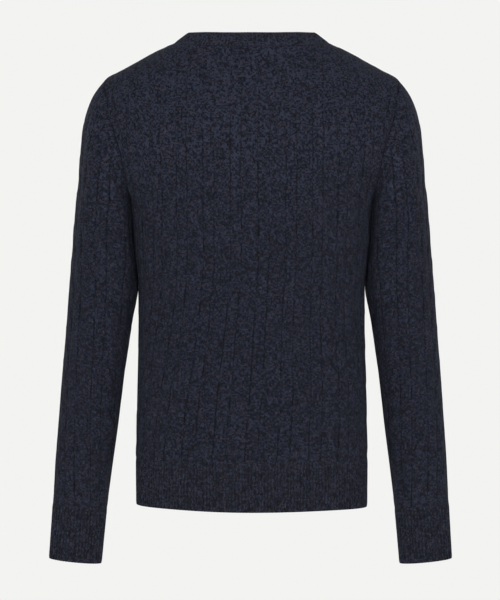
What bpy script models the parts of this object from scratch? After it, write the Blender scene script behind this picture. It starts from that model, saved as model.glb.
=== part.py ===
"""A cable-knit pullover with a crew neck and long set-in sleeves, filled out as if worn.

Metres, +Z up. The front faces -Y and the wearer's left is +X. The origin is midway between
the neck ends of the two shoulder seams, at the height where the wearer's shoulders hold it.

Each piece is drawn flat, as a knitter would: s runs across its wales and t up its courses,
with s to the right as the outside is looked at. A form then says where each flat point lies
when the garment is filled out, and the cables and ribs are raised in the piece's outer side.
"""

import bisect
import math
from collections import namedtuple
from functools import lru_cache

import bmesh
import bpy
import numpy as np
from mathutils import Vector
from mathutils.geometry import delaunay_2d_cdt

# Heights, down from the neck ends of the shoulder seams
HEM_Z = -0.652
WELT_TOP_Z = -0.587
UNDERARM_Z = -0.230
BEND_Z = -0.290  # above this the form curves more, and long lines of the knit have more points
BLADE_Z = -0.106  # above this the wales run straight up and over the shoulder
CAP_LINING_Z = -0.064  # the sleeve's inside ends here, short of its narrow tip
SHOULDER_TIP_Z = -0.050
CUFF_END_Z = -0.737
CUFF_TOP_Z = -0.657

# Knit
SEAM_GAP = 0.0003
INNER_INSET = 0.0008  # how far a piece's inner edge stands back, so that bent seams clear
WALL_INSIDE = 0.0034  # from the crest of a cable to the plain inside
SEAM_SINK = 0.0012
CABLE_PITCH = 0.039
CABLE_HALF_WIDTH = 0.0118
CROSSING_PITCH = 0.048
FIRST_CROSSING = 0.014  # above the welt or the cuff
RIB_PITCH = 0.0045
RIB_INSIDE = 0.0027
RIB_SINK = 0.0009
RIBS_PER_SEAM_POINT = 4

# Neckline and neckband
NECK_HALF_WIDTH = 0.110
BACK_NECK_DROP = 0.011
FRONT_NECK_DROP = 0.078
BACK_NECK_CURVE = 3.0  # powers of the neckline's curve: how flat its middle is
FRONT_NECK_CURVE = 2.3
FRONT_NECK_RISE = 1.7  # and how upright its ends are
BAND_WIDTH = 0.0255
BAND_BEND_CENTRE = math.radians(20)  # inwards from the slope of the cloth below it
BAND_BEND_SIDE = math.radians(-13.5)
BAND_MITRE = 0.28
NECK_SPAN = 3  # half ribs to each side, over which the neckline's direction is taken

# Grid spacing of the plain insides and of the seams
LINING_STEP = 0.042
UPPER_LINING_STEP = 0.022  # above the underarm
BODY_LINING_ACROSS = 0.030
SLEEVE_LINING_ACROSS = 0.018
SEAM_STEP = 0.024
SHOULDER_STEP = 0.0055
ARMHOLE_STEPS = 17
RING_SAMPLES = 97  # on the curve that a section's arc lengths are measured along
WALE_SAMPLES = 48  # the same for a wale's run over the shoulder
LINE_SAMPLES = 400  # the same for the neckline and the sleeve's outer line

SLOPE_STEP = 0.001  # height over which a surface's slope is taken
SLOPE_SHARE = 0.01  # share of a section's arc that its direction is taken over
SEAM_SHARE = 0.001  # share of that arc at each end where a sleeve's two halves meet

# Least distances between flat points, so that no triangle is a sliver
KNOT_TO_EDGE = 0.0035
KNOT_TO_TURN = 0.0045
CREASE_TO_KNOT = 0.0042
CREASE_TO_EDGE = 0.0017
LINK_TO_EDGE = 0.002
LINING_TO_EDGE = 0.007
LINING_TO_CREASE = 0.009

# How much longer and deeper, and how much wider, a fold is on the inside
LINING_FOLD_GROWTH = 1.15
LINING_FOLD_WIDENING = 1.3

# Where a fold's points lie, as shares of half its length and of its half width
FOLD_STATIONS = (-0.9, -0.45, 0, 0.45, 0.9)
FOLD_FLANKS = (-1.35, 0, 1.35)
FOLD_FLANK_END = 0.8  # the flanks' points stop short of this share of half the length

LINK_STATIONS = (0.15, 0.3, 0.5, 0.7, 0.85)  # shares of a link where it must be clear
TRIANGLE_TOLERANCE = 1e-4  # millimetres

# The torso's level sections: half its width, how far the back and front stand out from the
# seams, how full the section is (2 is an ellipse) and how far the knit is stretched across.
Ring = namedtuple("Ring", "z half_width back front fullness ease")
TORSO = [
    Ring(-0.652, 0.1630, 0.0990, 0.0950, 2.35, 1.13),
    Ring(-0.587, 0.1635, 0.0985, 0.0950, 2.35, 1.14),
    Ring(-0.520, 0.1625, 0.0960, 0.0950, 2.35, 1.12),
    Ring(-0.450, 0.1610, 0.0925, 0.0960, 2.35, 1.05),
    Ring(-0.400, 0.1600, 0.0905, 0.0980, 2.35, 1.00),
    Ring(-0.346, 0.1600, 0.0920, 0.1010, 2.35, 0.97),
    Ring(-0.290, 0.1637, 0.0980, 0.1065, 2.35, 0.97),
    Ring(-0.230, 0.1685, 0.1045, 0.1110, 2.30, 0.98),
    Ring(-0.190, 0.1900, 0.1070, 0.1100, 2.12, 0.98),
    Ring(-0.149, 0.2140, 0.1070, 0.1060, 1.95, 0.98),
    Ring(-0.106, 0.2230, 0.1020, 0.0960, 1.82, 0.98),
    Ring(-0.078, 0.2195, 0.0945, 0.0865, 1.74, 0.98),
    Ring(-0.050, 0.2062, 0.0850, 0.0740, 1.70, 0.98),
    Ring(-0.038, 0.1846, 0.0809, 0.0679, 1.72, 0.98),
    Ring(-0.025, 0.1608, 0.0762, 0.0612, 1.74, 0.98),
    Ring(-0.010, 0.1334, 0.0719, 0.0534, 1.77, 0.98),
    Ring(0.000, 0.1100, 0.0690, 0.0480, 1.80, 0.98),
]

# The back's wales wander a little to the left on their way down
Wander = namedtuple("Wander", "rate foot top")
BACK_WANDER = Wander(0.066, -0.562, -0.312)
STRAIGHT = Wander(0.0, 0.0, 0.0)

# The left sleeve's level sections: its outer line, its inner line (above the underarm, the
# armhole seam), how far the section's middle stands out from that, how much deeper than the
# armhole it is behind and in front, how far forward it hangs, how far forward its inner line
# is tucked beyond that, and its slope across.
Slice = namedtuple("Slice", "z outer inner lead back front forward tuck slope")
SLEEVE = [
    Slice(-0.737, 0.2865, 0.2125, 0.0370, 0.0250, 0.0250, 0.0300, 0.000, 0.100),
    Slice(-0.657, 0.2815, 0.2050, 0.0380, 0.0280, 0.0280, 0.0240, 0.000, 0.100),
    Slice(-0.600, 0.2785, 0.1980, 0.0400, 0.0340, 0.0335, 0.0190, 0.000, 0.100),
    Slice(-0.540, 0.2740, 0.1900, 0.0420, 0.0390, 0.0380, 0.0140, 0.000, 0.100),
    Slice(-0.480, 0.2695, 0.1822, 0.0432, 0.0430, 0.0420, 0.0090, 0.000, 0.090),
    Slice(-0.420, 0.2645, 0.1738, 0.0452, 0.0470, 0.0450, 0.0050, 0.003, 0.070),
    Slice(-0.385, 0.2618, 0.1680, 0.0462, 0.0487, 0.0467, 0.0035, 0.009, 0.055),
    Slice(-0.360, 0.2600, 0.1626, 0.0480, 0.0500, 0.0480, 0.0020, 0.017, 0.040),
    Slice(-0.345, 0.2588, 0.1592, 0.0488, 0.0510, 0.0488, 0.0015, 0.022, 0.030),
    Slice(-0.300, 0.2550, 0.1620, 0.0470, 0.0540, 0.0510, 0.0000, 0.022, 0.010),
    Slice(-0.260, 0.2520, 0.1662, 0.0433, 0.0560, 0.0530, 0.0000, 0.012, 0.000),
    Slice(-0.243, 0.2508, 0.1677, 0.0414, 0.0567, 0.0538, 0.0000, 0.004, 0.000),
    Slice(-0.230, 0.2495, 0.1688, 0.0400, 0.0570, 0.0540, 0.0000, 0.000, 0.000),
    Slice(-0.220, 0.2484, 0.1703, 0.0350, 0.0507, 0.0470, 0.0000, 0.000, 0.000),
    Slice(-0.190, 0.2453, 0.1765, 0.0220, 0.0374, 0.0340, 0.0000, 0.000, 0.000),
    Slice(-0.149, 0.2425, 0.1860, 0.0080, 0.0196, 0.0190, 0.0000, 0.000, 0.000),
    Slice(-0.128, 0.2405, 0.1930, 0.0040, 0.0140, 0.0130, 0.0000, 0.000, 0.000),
    Slice(-0.106, 0.2365, 0.1995, 0.0020, 0.0100, 0.0100, 0.0000, 0.000, 0.000),
    Slice(-0.078, 0.2268, 0.2040, 0.0010, 0.0070, 0.0070, 0.0000, 0.000, 0.000),
    Slice(-0.062, 0.2165, 0.2066, 0.0005, 0.0040, 0.0040, 0.0000, 0.000, 0.000),
    Slice(-0.050, 0.2063, 0.2062, 0.0001, 0.0002, 0.0002, 0.0000, 0.000, 0.000),
]

# The largest soft folds: where the middle lies on the flat piece, which way the fold runs
# (degrees up from s), its length, depth and half width.
Fold = namedtuple("Fold", "s t angle length depth half_width")
BACK_FOLDS = [
    Fold(0.141, -0.184, 52, 0.080, 0.0045, 0.0075),
    Fold(0.121, -0.236, 82, 0.095, 0.0035, 0.0080),
    Fold(-0.150, -0.186, 128, 0.075, 0.0032, 0.0075),
    Fold(-0.126, -0.244, 96, 0.085, 0.0026, 0.0080),
    Fold(0.168, -0.395, 96, 0.110, 0.0022, 0.0090),
]
FRONT_FOLDS = [
    Fold(-0.146, -0.184, 126, 0.080, 0.0042, 0.0075),
    Fold(-0.124, -0.240, 97, 0.090, 0.0030, 0.0080),
    Fold(0.143, -0.186, 54, 0.080, 0.0040, 0.0075),
    Fold(0.125, -0.238, 84, 0.085, 0.0030, 0.0080),
]
LEFT_SLEEVE_FOLDS = [
    Fold(0.088, -0.440, 62, 0.075, 0.0035, 0.0075),
    Fold(-0.086, -0.455, 118, 0.075, 0.0038, 0.0075),
    Fold(0.080, -0.625, 84, 0.055, 0.0025, 0.0065),
]
RIGHT_SLEEVE_FOLDS = [
    Fold(0.090, -0.430, 66, 0.070, 0.0032, 0.0075),
    Fold(-0.084, -0.470, 120, 0.075, 0.0038, 0.0075),
    Fold(0.082, -0.628, 86, 0.060, 0.0036, 0.0065),
]

# One crossing of a cable's two strands: across (-1 to 1), along (0 to 1 of the pitch) and
# how deep below the crest. The strand on top runs down from the left to the right.
Knot = namedtuple("Knot", "across along sink")
CROSSING = [
    Knot(-0.52, 0.00, 0.0003),
    Knot(0.00, 0.00, 0.0012),
    Knot(0.52, 0.00, 0.0003),
    Knot(0.30, 0.33, 0.0),
    Knot(-0.50, 0.33, 0.0012),
    Knot(-0.30, 0.67, 0.0),
    Knot(0.50, 0.67, 0.0012),
]
STRAND_KNOTS = (2, 3, 5)  # the strand on top, which ends at the next crossing's first knot
FURROW_SINK = 0.0019
STRAND_SINK = 0.0005  # the mean depth over a cable's two strands
BETWEEN_SINK = 0.0007  # the plain column between two cables

# The sleeve turns quickly at its cap and where it is tucked beyond the body: at these heights,
# points at these shares of the way to the seam
TurnRow = namedtuple("TurnRow", "z shares")
TURNS = [
    TurnRow(-0.060, (0.0, 0.4, 0.72, 0.88)),
    TurnRow(-0.068, (0.0, 0.4, 0.72, 0.88)),
    TurnRow(-0.079, (0.0, 0.4, 0.72, 0.88)),
    TurnRow(-0.093, (0.88,)),
    TurnRow(-0.110, (0.88,)),
    TurnRow(-0.309, (0.96,)),
    TurnRow(-0.326, (0.96,)),
    TurnRow(-0.342, (0.96,)),
    TurnRow(-0.357, (0.96,)),
]
CAP_SLANT = 0.012  # height over which the facing of the cap's tip is worked out

YARN = (0.016, 0.020, 0.032, 1.0)
RIB_YARN = (0.018, 0.021, 0.033, 1.0)

# A point of a piece's edge. mitre is how much further back it stands for each unit of depth,
# where the seam is bent and the two walls would meet.
Edge = namedtuple("Edge", "s t position normal sink on_inside mitre", defaults=(0.0,))


def start_clean():
    for leftover in list(bpy.data.objects):
        bpy.data.objects.remove(leftover)


def knit_material(name, colour):
    material = bpy.data.materials.new(name)
    material.use_nodes = True
    shader = material.node_tree.nodes["Principled BSDF"]
    shader.inputs["Base Color"].default_value = colour
    shader.inputs["Roughness"].default_value = 0.92
    shader.inputs["Metallic"].default_value = 0.0
    return material


def smooth_column(rows, column):
    """A curve without overshoot through one column of a table, against its heights."""
    z = np.array([row.z for row in rows])
    value = np.array([getattr(row, column) for row in rows])
    step = np.diff(z)
    rate = np.diff(value) / step
    slope = np.concatenate([rate[:1], np.zeros(len(z) - 2), rate[-1:]])
    for i in range(1, len(z) - 1):
        if rate[i - 1] * rate[i] > 0:
            before = 2 * step[i] + step[i - 1]
            after = step[i] + 2 * step[i - 1]
            slope[i] = (before + after) / (before / rate[i - 1] + after / rate[i])
    heights = z.tolist()

    @lru_cache(maxsize=None)
    def at(height):
        height = min(max(height, heights[0]), heights[-1])
        i = min(bisect.bisect_right(heights, height) - 1, len(step) - 1)
        u = (height - heights[i]) / step[i]
        rest = (1 - u) * (1 - u)
        return float(
            value[i] * (1 + 2 * u) * rest
            + slope[i] * step[i] * u * rest
            + value[i + 1] * u * u * (3 - 2 * u)
            + slope[i + 1] * step[i] * u * u * (u - 1)
        )

    return at


torso = {column: smooth_column(TORSO, column) for column in Ring._fields[1:]}
sleeve = {column: smooth_column(SLEEVE, column) for column in Slice._fields[1:]}


def fold_sink(folds, s, t):
    """How deep the soft folds press the cloth in at one place."""
    total = 0.0
    for fold in folds:
        angle = math.radians(fold.angle)
        ds, dt = s - fold.s, t - fold.t
        along = (ds * math.cos(angle) + dt * math.sin(angle)) / (fold.length / 2)
        aside = (dt * math.cos(angle) - ds * math.sin(angle)) / fold.half_width
        if abs(along) < 1:
            total += fold.depth * (1 - along * along) ** 2 * math.exp(-aside * aside)
    return total


def fold_points(folds):
    """Flat points along each fold and at its two flanks."""
    points = []
    for fold in folds:
        angle = math.radians(fold.angle)
        for along in FOLD_STATIONS:
            for aside in FOLD_FLANKS:
                if aside == 0 or abs(along) < FOLD_FLANK_END:
                    u, v = along * fold.length / 2, aside * fold.half_width
                    s = fold.s + u * math.cos(angle) - v * math.sin(angle)
                    points.append((s, fold.t + u * math.sin(angle) + v * math.cos(angle)))
    return points


# The torso: face is 1 for the back and -1 for the front


def torso_depth(face, z):
    return torso["back" if face > 0 else "front"](z)


@lru_cache(maxsize=4096)
def quarter_ring(face, z):
    """A quarter of a section from the centre to the side: across, outwards and arc length."""
    power = 2 / torso["fullness"](z)
    turn = np.linspace(0, math.pi / 2, RING_SAMPLES)
    across = torso["half_width"](z) * np.sin(turn) ** power
    outwards = torso_depth(face, z) * np.abs(np.cos(turn)) ** power
    outwards[-1] = 0
    arc = np.concatenate([[0], np.cumsum(np.hypot(np.diff(across), np.diff(outwards)))])
    return across, outwards, arc


def torso_outwards(face, across, z):
    fullness = torso["fullness"](z)
    share = 1 - min(1.0, across / torso["half_width"](z)) ** fullness
    return torso_depth(face, z) * max(0.0, share) ** (1 / fullness)


def wale_across(face, s, z):
    """How far from the centre plane wale s lies at height z."""
    level = min(z, BLADE_Z)
    across, _, arc = quarter_ring(face, level)
    return float(np.interp(abs(s) * torso["ease"](level), arc, across))


def wale_at(face, across, z):
    """The wale that lies that far from the centre plane at height z."""
    level = min(z, BLADE_Z)
    ring_across, _, arc = quarter_ring(face, level)
    return float(np.interp(across, ring_across, arc)) / torso["ease"](level)


def side_wale(face, z):
    return float(quarter_ring(face, z)[2][-1]) / torso["ease"](z)


@lru_cache(maxsize=8192)
def over_shoulder(face, across):
    """The heights along a wale above the blades, and its length up to each of them."""
    top = 0.0
    if across > NECK_HALF_WIDTH:
        low, high = SHOULDER_TIP_Z - 0.02, 0.0
        for _ in range(40):
            top = (low + high) / 2
            if torso["half_width"](top) > across:
                low = top
            else:
                high = top
    share = np.linspace(0, 1, WALE_SAMPLES)
    heights = BLADE_Z + (top - BLADE_Z) * (1 - (1 - share) ** 2)
    out = np.array([torso_outwards(face, across, float(z)) for z in heights])
    length = np.concatenate([[0], np.cumsum(np.hypot(np.diff(heights), np.diff(out)))])
    return heights, BLADE_Z + length


def height_of(face, s, t):
    if t <= BLADE_Z:
        return t
    heights, length = over_shoulder(face, wale_across(face, s, BLADE_Z))
    return float(np.interp(t, length, heights))


def course_of(face, across, z):
    if z <= BLADE_Z:
        return z
    heights, length = over_shoulder(face, across)
    return float(np.interp(z, heights, length))


def torso_point(face, side, across, outwards, z):
    """The point there, and the way the cloth faces."""
    normal = torso_normal(face, across, outwards, z)
    turn = -face * side
    return (
        Vector((turn * across, face * outwards, z)),
        Vector((turn * normal[0], face * normal[1], normal[2])),
    )


def torso_place(face, across, z, side):
    return torso_point(face, side, across, torso_outwards(face, across, z), z)


def torso_normal(face, across, outwards, z):
    def field(height):
        fullness = torso["fullness"](height)
        return (across / torso["half_width"](height)) ** fullness + (
            outwards / torso_depth(face, height)
        ) ** fullness

    n = torso["fullness"](z)
    low, high = z - SLOPE_STEP, min(z + SLOPE_STEP, 0.0)
    normal = Vector(
        (
            n * across ** (n - 1) / torso["half_width"](z) ** n,
            n * outwards ** (n - 1) / torso_depth(face, z) ** n,
            (field(high) - field(low)) / (high - low),
        )
    )
    return normal.normalized()


def torso_surface(face):
    def surface(s, t):
        z = height_of(face, s, t)
        side = math.copysign(1, s)
        if z > BLADE_Z:
            return torso_place(face, wale_across(face, s, z), z, side)
        across, outwards, arc = quarter_ring(face, z)
        reach = abs(s) * torso["ease"](z)
        x, y = float(np.interp(reach, arc, across)), float(np.interp(reach, arc, outwards))
        return torso_point(face, side, x, y, z)

    return surface


def neckline_height(face, across):
    share = min(1.0, across / NECK_HALF_WIDTH)
    if face > 0:
        return -BACK_NECK_DROP * (1 - share**BACK_NECK_CURVE)
    return -FRONT_NECK_DROP * (1 - share**FRONT_NECK_CURVE) ** (1 / FRONT_NECK_RISE)


@lru_cache(maxsize=2)
def neckline(face):
    """Points along the neckline from its left end to its right, as far apart as half a rib."""
    turns = np.linspace(0, math.pi, LINE_SAMPLES + 1).tolist()
    sides = [-NECK_HALF_WIDTH * math.cos(turn) for turn in turns]
    points = []
    for s in sides:
        z = neckline_height(face, abs(s))
        points.append((-face * s, face * torso_outwards(face, abs(s), z), z))
    points = np.array(points)
    step = np.linalg.norm(np.diff(points, axis=0), axis=1)
    length = np.concatenate([[0], np.cumsum(step)])
    even = np.interp(np.linspace(0, length[-1], rib_count(length[-1]) + 1), length, sides)
    return [(s, neckline_height(face, abs(s))) for s in even.tolist()]


def steps_between(start, end, step):
    count = max(1, round(abs(end - start) / step))
    return [start + (end - start) * i / count for i in range(count + 1)]


def eased_steps(start, end, count):
    """Values from start to end, closer together at both ends."""
    return [
        start + (end - start) * (1 - math.cos(math.pi * i / count)) / 2 for i in range(count + 1)
    ]


def torso_edge(face, across, z, side, sink=SEAM_SINK):
    position, normal = torso_place(face, across, z, side)
    s = side * wale_at(face, across, z)
    return Edge(s, course_of(face, across, z), position, normal, sink, True)


def side_seam(face, side):
    edges = []
    for z in steps_between(WELT_TOP_Z, UNDERARM_Z, SEAM_STEP)[1:]:
        across = torso["half_width"](z)
        position, normal = torso_place(face, across, z, side)
        edges.append(Edge(side * side_wale(face, z), z, position, normal, SEAM_SINK, True))
    return edges


def armhole_heights():
    return eased_steps(UNDERARM_Z, SHOULDER_TIP_Z, ARMHOLE_STEPS)


def armhole_edge(face, side):
    return [torso_edge(face, sleeve["inner"](z), z, side) for z in armhole_heights()[1:-1]]


def shoulder_seam(face, side):
    heights = steps_between(SHOULDER_TIP_Z, 0.0, SHOULDER_STEP)
    return [torso_edge(face, torso["half_width"](z), z, side) for z in heights]


def neckline_edge(face):
    """The same points from right to left, without the ends that the shoulders have."""
    places = neckline(face)[RIBS_PER_SEAM_POINT:-1:RIBS_PER_SEAM_POINT]
    edges = [torso_edge(face, abs(s), z, math.copysign(1, s)) for s, z in reversed(places)]
    return [edge._replace(mitre=BAND_MITRE) for edge in edges]


def torso_outline(face, bottom):
    """The edge of the front or back, anticlockwise from the bottom left."""
    right = side_seam(face, 1) + armhole_edge(face, 1) + shoulder_seam(face, 1)
    left = side_seam(face, -1) + armhole_edge(face, -1) + shoulder_seam(face, -1)
    return bottom + right + neckline_edge(face) + left[::-1]


# The left sleeve: half is 1 for its back half and -1 for its front half


def armhole_depth(half, z):
    """How far the armhole seam stands behind or before the sleeve's middle at a height."""
    if not UNDERARM_Z < z < SHOULDER_TIP_Z:
        return 0.0
    return torso_outwards(half, sleeve["inner"](z), z)


@lru_cache(maxsize=4096)
def half_slice(half, z):
    """Half of a section from the outer line to the seam: across, outwards and arc length."""
    deep = sleeve["back" if half > 0 else "front"](z)
    seam = armhole_depth(half, z)
    middle = sleeve["inner"](z) + sleeve["lead"](z)
    reach = math.hypot(seam, deep)
    turn = np.linspace(0, math.pi - math.asin(min(1.0, seam / reach)), RING_SAMPLES)
    outer_radius = sleeve["outer"](z) - middle
    inner_radius = sleeve["lead"](z) * reach / deep
    radius = np.where(turn < math.pi / 2, outer_radius, inner_radius)
    across = middle + radius * np.cos(turn)
    outwards = reach * np.sin(turn)
    arc = np.concatenate([[0], np.cumsum(np.hypot(np.diff(across), np.diff(outwards)))])
    return across, outwards, arc


@lru_cache(maxsize=1)
def outer_line():
    """The heights up the sleeve's outer line and its length up to each of them."""
    heights = np.linspace(CUFF_END_Z, SHOULDER_TIP_Z, LINE_SAMPLES)
    outer = np.array([sleeve["outer"](float(z)) for z in heights])
    length = np.concatenate([[0], np.cumsum(np.hypot(np.diff(heights), np.diff(outer)))])
    return heights, CUFF_END_Z + length


def sleeve_height(t):
    heights, length = outer_line()
    return float(np.interp(t, length, heights))


def sleeve_course(z):
    heights, length = outer_line()
    return float(np.interp(z, heights, length))


def sleeve_at(half, across, outwards, z):
    """A point of a section, with the section's slope, the arm's hang and the inner line's tuck."""
    middle = sleeve["inner"](z) + sleeve["lead"](z)
    lift = (across - middle) * sleeve["slope"](z)
    inner_share = max(0.0, middle - across) / sleeve["lead"](z)
    forward = sleeve["forward"](z) + sleeve["tuck"](z) * inner_share**2
    return Vector((across, half * outwards - forward, z + lift))


def sleeve_place(half, reach, z):
    """The point that far round a section from the outer line, and the way the cloth faces."""
    low = max(z - 2 * SLOPE_STEP, CUFF_END_Z)
    high = min(z + 2 * SLOPE_STEP, SHOULDER_TIP_Z - SLOPE_STEP)
    ring = half_slice(half, z)
    share = min(reach / float(ring[2][-1]), 1.0)
    before, after = max(share - SLOPE_SHARE, 0.0), min(share + SLOPE_SHARE, 1.0)
    upper, lower = on_slice(half_slice(half, high), share), on_slice(half_slice(half, low), share)
    along = sleeve_at(half, *upper, high) - sleeve_at(half, *lower, low)
    around = sleeve_at(half, *on_slice(ring, after), z) - sleeve_at(half, *on_slice(ring, before), z)
    normal = half * around.cross(along)
    at_seam = share > 1 - SEAM_SHARE and armhole_depth(half, z) == 0
    if share < SEAM_SHARE or at_seam:
        normal.y = 0  # the two halves meet there and face the same way
    return sleeve_at(half, *on_slice(ring, share), z), normal.normalized()


def on_slice(ring, share):
    across, outwards, arc = ring
    return (
        float(np.interp(share * arc[-1], arc, across)),
        float(np.interp(share * arc[-1], arc, outwards)),
    )


def sleeve_surface(s, t):
    return sleeve_place(1 if s >= 0 else -1, abs(s), sleeve_height(t))


def sleeve_side(half, z):
    """One edge point of the sleeve: the underarm seam, or the armhole seam above it."""
    reach = float(half_slice(half, z)[2][-1])
    place = sleeve_place(half, reach, z)
    return Edge(half * reach, sleeve_course(z), *place, SEAM_SINK, z < CAP_LINING_Z)


def sleeve_outline(bottom):
    """The edge of the left sleeve, anticlockwise from the cuff's left."""
    heights = steps_between(CUFF_TOP_Z, UNDERARM_Z, SEAM_STEP)[1:] + armhole_heights()[1:-1]
    right = [sleeve_side(1, z) for z in heights]
    left = [sleeve_side(-1, z) for z in heights]
    rise = sleeve["outer"](SHOULDER_TIP_Z - CAP_SLANT) - sleeve["outer"](SHOULDER_TIP_Z)
    tip = Vector((sleeve["outer"](SHOULDER_TIP_Z), 0.0, SHOULDER_TIP_Z))
    facing = Vector((CAP_SLANT, 0.0, rise)).normalized()
    top = Edge(0.0, sleeve_course(SHOULDER_TIP_Z), tip, facing, SEAM_SINK, False)
    return bottom + right + [top] + left[::-1]


def turn_points():
    """Flat points of the sleeve where its form turns quickly."""
    points = set()
    for row in TURNS:
        for half in (1, -1):
            reach = float(half_slice(half, row.z)[2][-1])
            points |= {(half * share * reach, sleeve_course(row.z)) for share in row.shares}
    return sorted(points)


# The neckband


def neck_rows():
    """The bottom and the top of the neckband, round from the wearer's left over the back."""
    places = [(1, s, z) for s, z in neckline(1)[:-1]] + [(-1, s, z) for s, z in neckline(-1)[:-1]]
    base = [torso_place(face, abs(s), z, math.copysign(1, s)) for face, s, z in places]
    lower, upper = [], []
    span = NECK_SPAN
    for i, (position, facing) in enumerate(base):
        along = base[(i + span) % len(base)][0] - base[i - span][0]
        upwards = facing.cross(along).normalized()
        share = min(1.0, abs(places[i][1]) / NECK_HALF_WIDTH) ** 2
        bend = BAND_BEND_CENTRE + (BAND_BEND_SIDE - BAND_BEND_CENTRE) * share
        slant = upwards * math.cos(bend) - facing * math.sin(bend)
        normal = along.cross(slant).normalized()
        lower.append((position, normal))
        upper.append((position + slant * BAND_WIDTH, normal))
    return lower, upper


# Building a piece: its outer side, its plain inside and the rim between them


def inwards(loop, i):
    """The way from an edge point into the piece, along the cloth."""
    along = loop[(i + 1) % len(loop)].position - loop[i - 1].position
    return loop[i].normal.cross(along).normalized()


def edge_point(loop, i, inset, sink):
    edge = loop[i]
    back = max(SEAM_GAP / 2 + edge.mitre * sink, inset)
    return edge.position + inwards(loop, i) * back - edge.normal * sink


def inside_outline(points, outline, margin):
    """Which flat points lie within the outline and at least margin from it."""
    kept = []
    start = np.array(outline)
    end = np.roll(start, -1, axis=0)
    span = end - start
    squared = (span**2).sum(1)
    for point in points:
        away = np.array(point) - start
        share = np.clip((away * span).sum(1) / squared, 0, 1)
        near = np.sqrt(((away - share[:, None] * span) ** 2).sum(1).min())
        beside = (start[:, 1] > point[1]) != (end[:, 1] > point[1])
        rising = np.where(beside, span[:, 1], 1.0)
        at = start[:, 0] + (point[1] - start[:, 1]) / rising * span[:, 0]
        kept.append(bool((beside & (at > point[0])).sum() % 2) and near > margin)
    return kept


def links_inside(points, links, outline):
    """The links that stay clear of the outline all the way."""
    samples = []
    for i, j in links:
        (s, t), (u, v) = points[i], points[j]
        samples += [(s + (u - s) * share, t + (v - t) * share) for share in LINK_STATIONS]
    clear = inside_outline(samples, outline, LINK_TO_EDGE)
    per = len(LINK_STATIONS)
    return [link for k, link in enumerate(links) if all(clear[k * per : (k + 1) * per])]


def triangulate(outline, points, links):
    """Triangles over an outline and the points within. Corners are numbered outline first."""
    corners = [Vector(point) * 1000 for point in outline + points]
    edges = [(i + len(outline), j + len(outline)) for i, j in links]
    border = [list(range(len(outline)))]
    made = delaunay_2d_cdt(corners, edges, border, 1, TRIANGLE_TOLERANCE, True)
    places = np.array([(place.x, place.y) for place in made[0]]) / 1000
    centres = [tuple(places[list(face)].mean(axis=0)) for face in made[2]]
    within = inside_outline(centres, outline, 0)
    number = [origin[0] for origin in made[3]]
    return [[number[i] for i in face] for face, keep in zip(made[2], within) if keep]


class Cloth:
    """A mesh under way, on its own side of the garment."""

    def __init__(self, mirror):
        self.mesh = bmesh.new()
        self.flip = -1 if mirror else 1

    def vertex(self, position):
        return self.mesh.verts.new((self.flip * position.x, position.y, position.z))

    def face(self, corners):
        self.mesh.faces.new(corners)

    def rim(self, outer, inner, kept):
        """Faces from a loop round the outer side to one round the inside.

        The inside has a point only below the outer points that kept numbers."""
        count = len(outer)
        for place, start in enumerate(kept):
            following = (place + 1) % len(kept)
            span = (kept[following] - start) % count
            middle = (span + 1) // 2
            for k in range(span):
                corner = inner[place if k < middle else following]
                self.face([outer[(start + k + 1) % count], outer[(start + k) % count], corner])
            self.face([outer[(start + middle) % count], inner[place], inner[following]])

    def finish(self, name, material):
        bmesh.ops.recalc_face_normals(self.mesh, faces=self.mesh.faces)
        data = bpy.data.meshes.new(name)
        self.mesh.to_mesh(data)
        self.mesh.free()
        data.materials.append(material)
        data.shade_smooth()
        data.set_sharp_from_angle(angle=math.radians(50))
        piece = bpy.data.objects.new(name, data)
        bpy.context.scene.collection.objects.link(piece)


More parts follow.
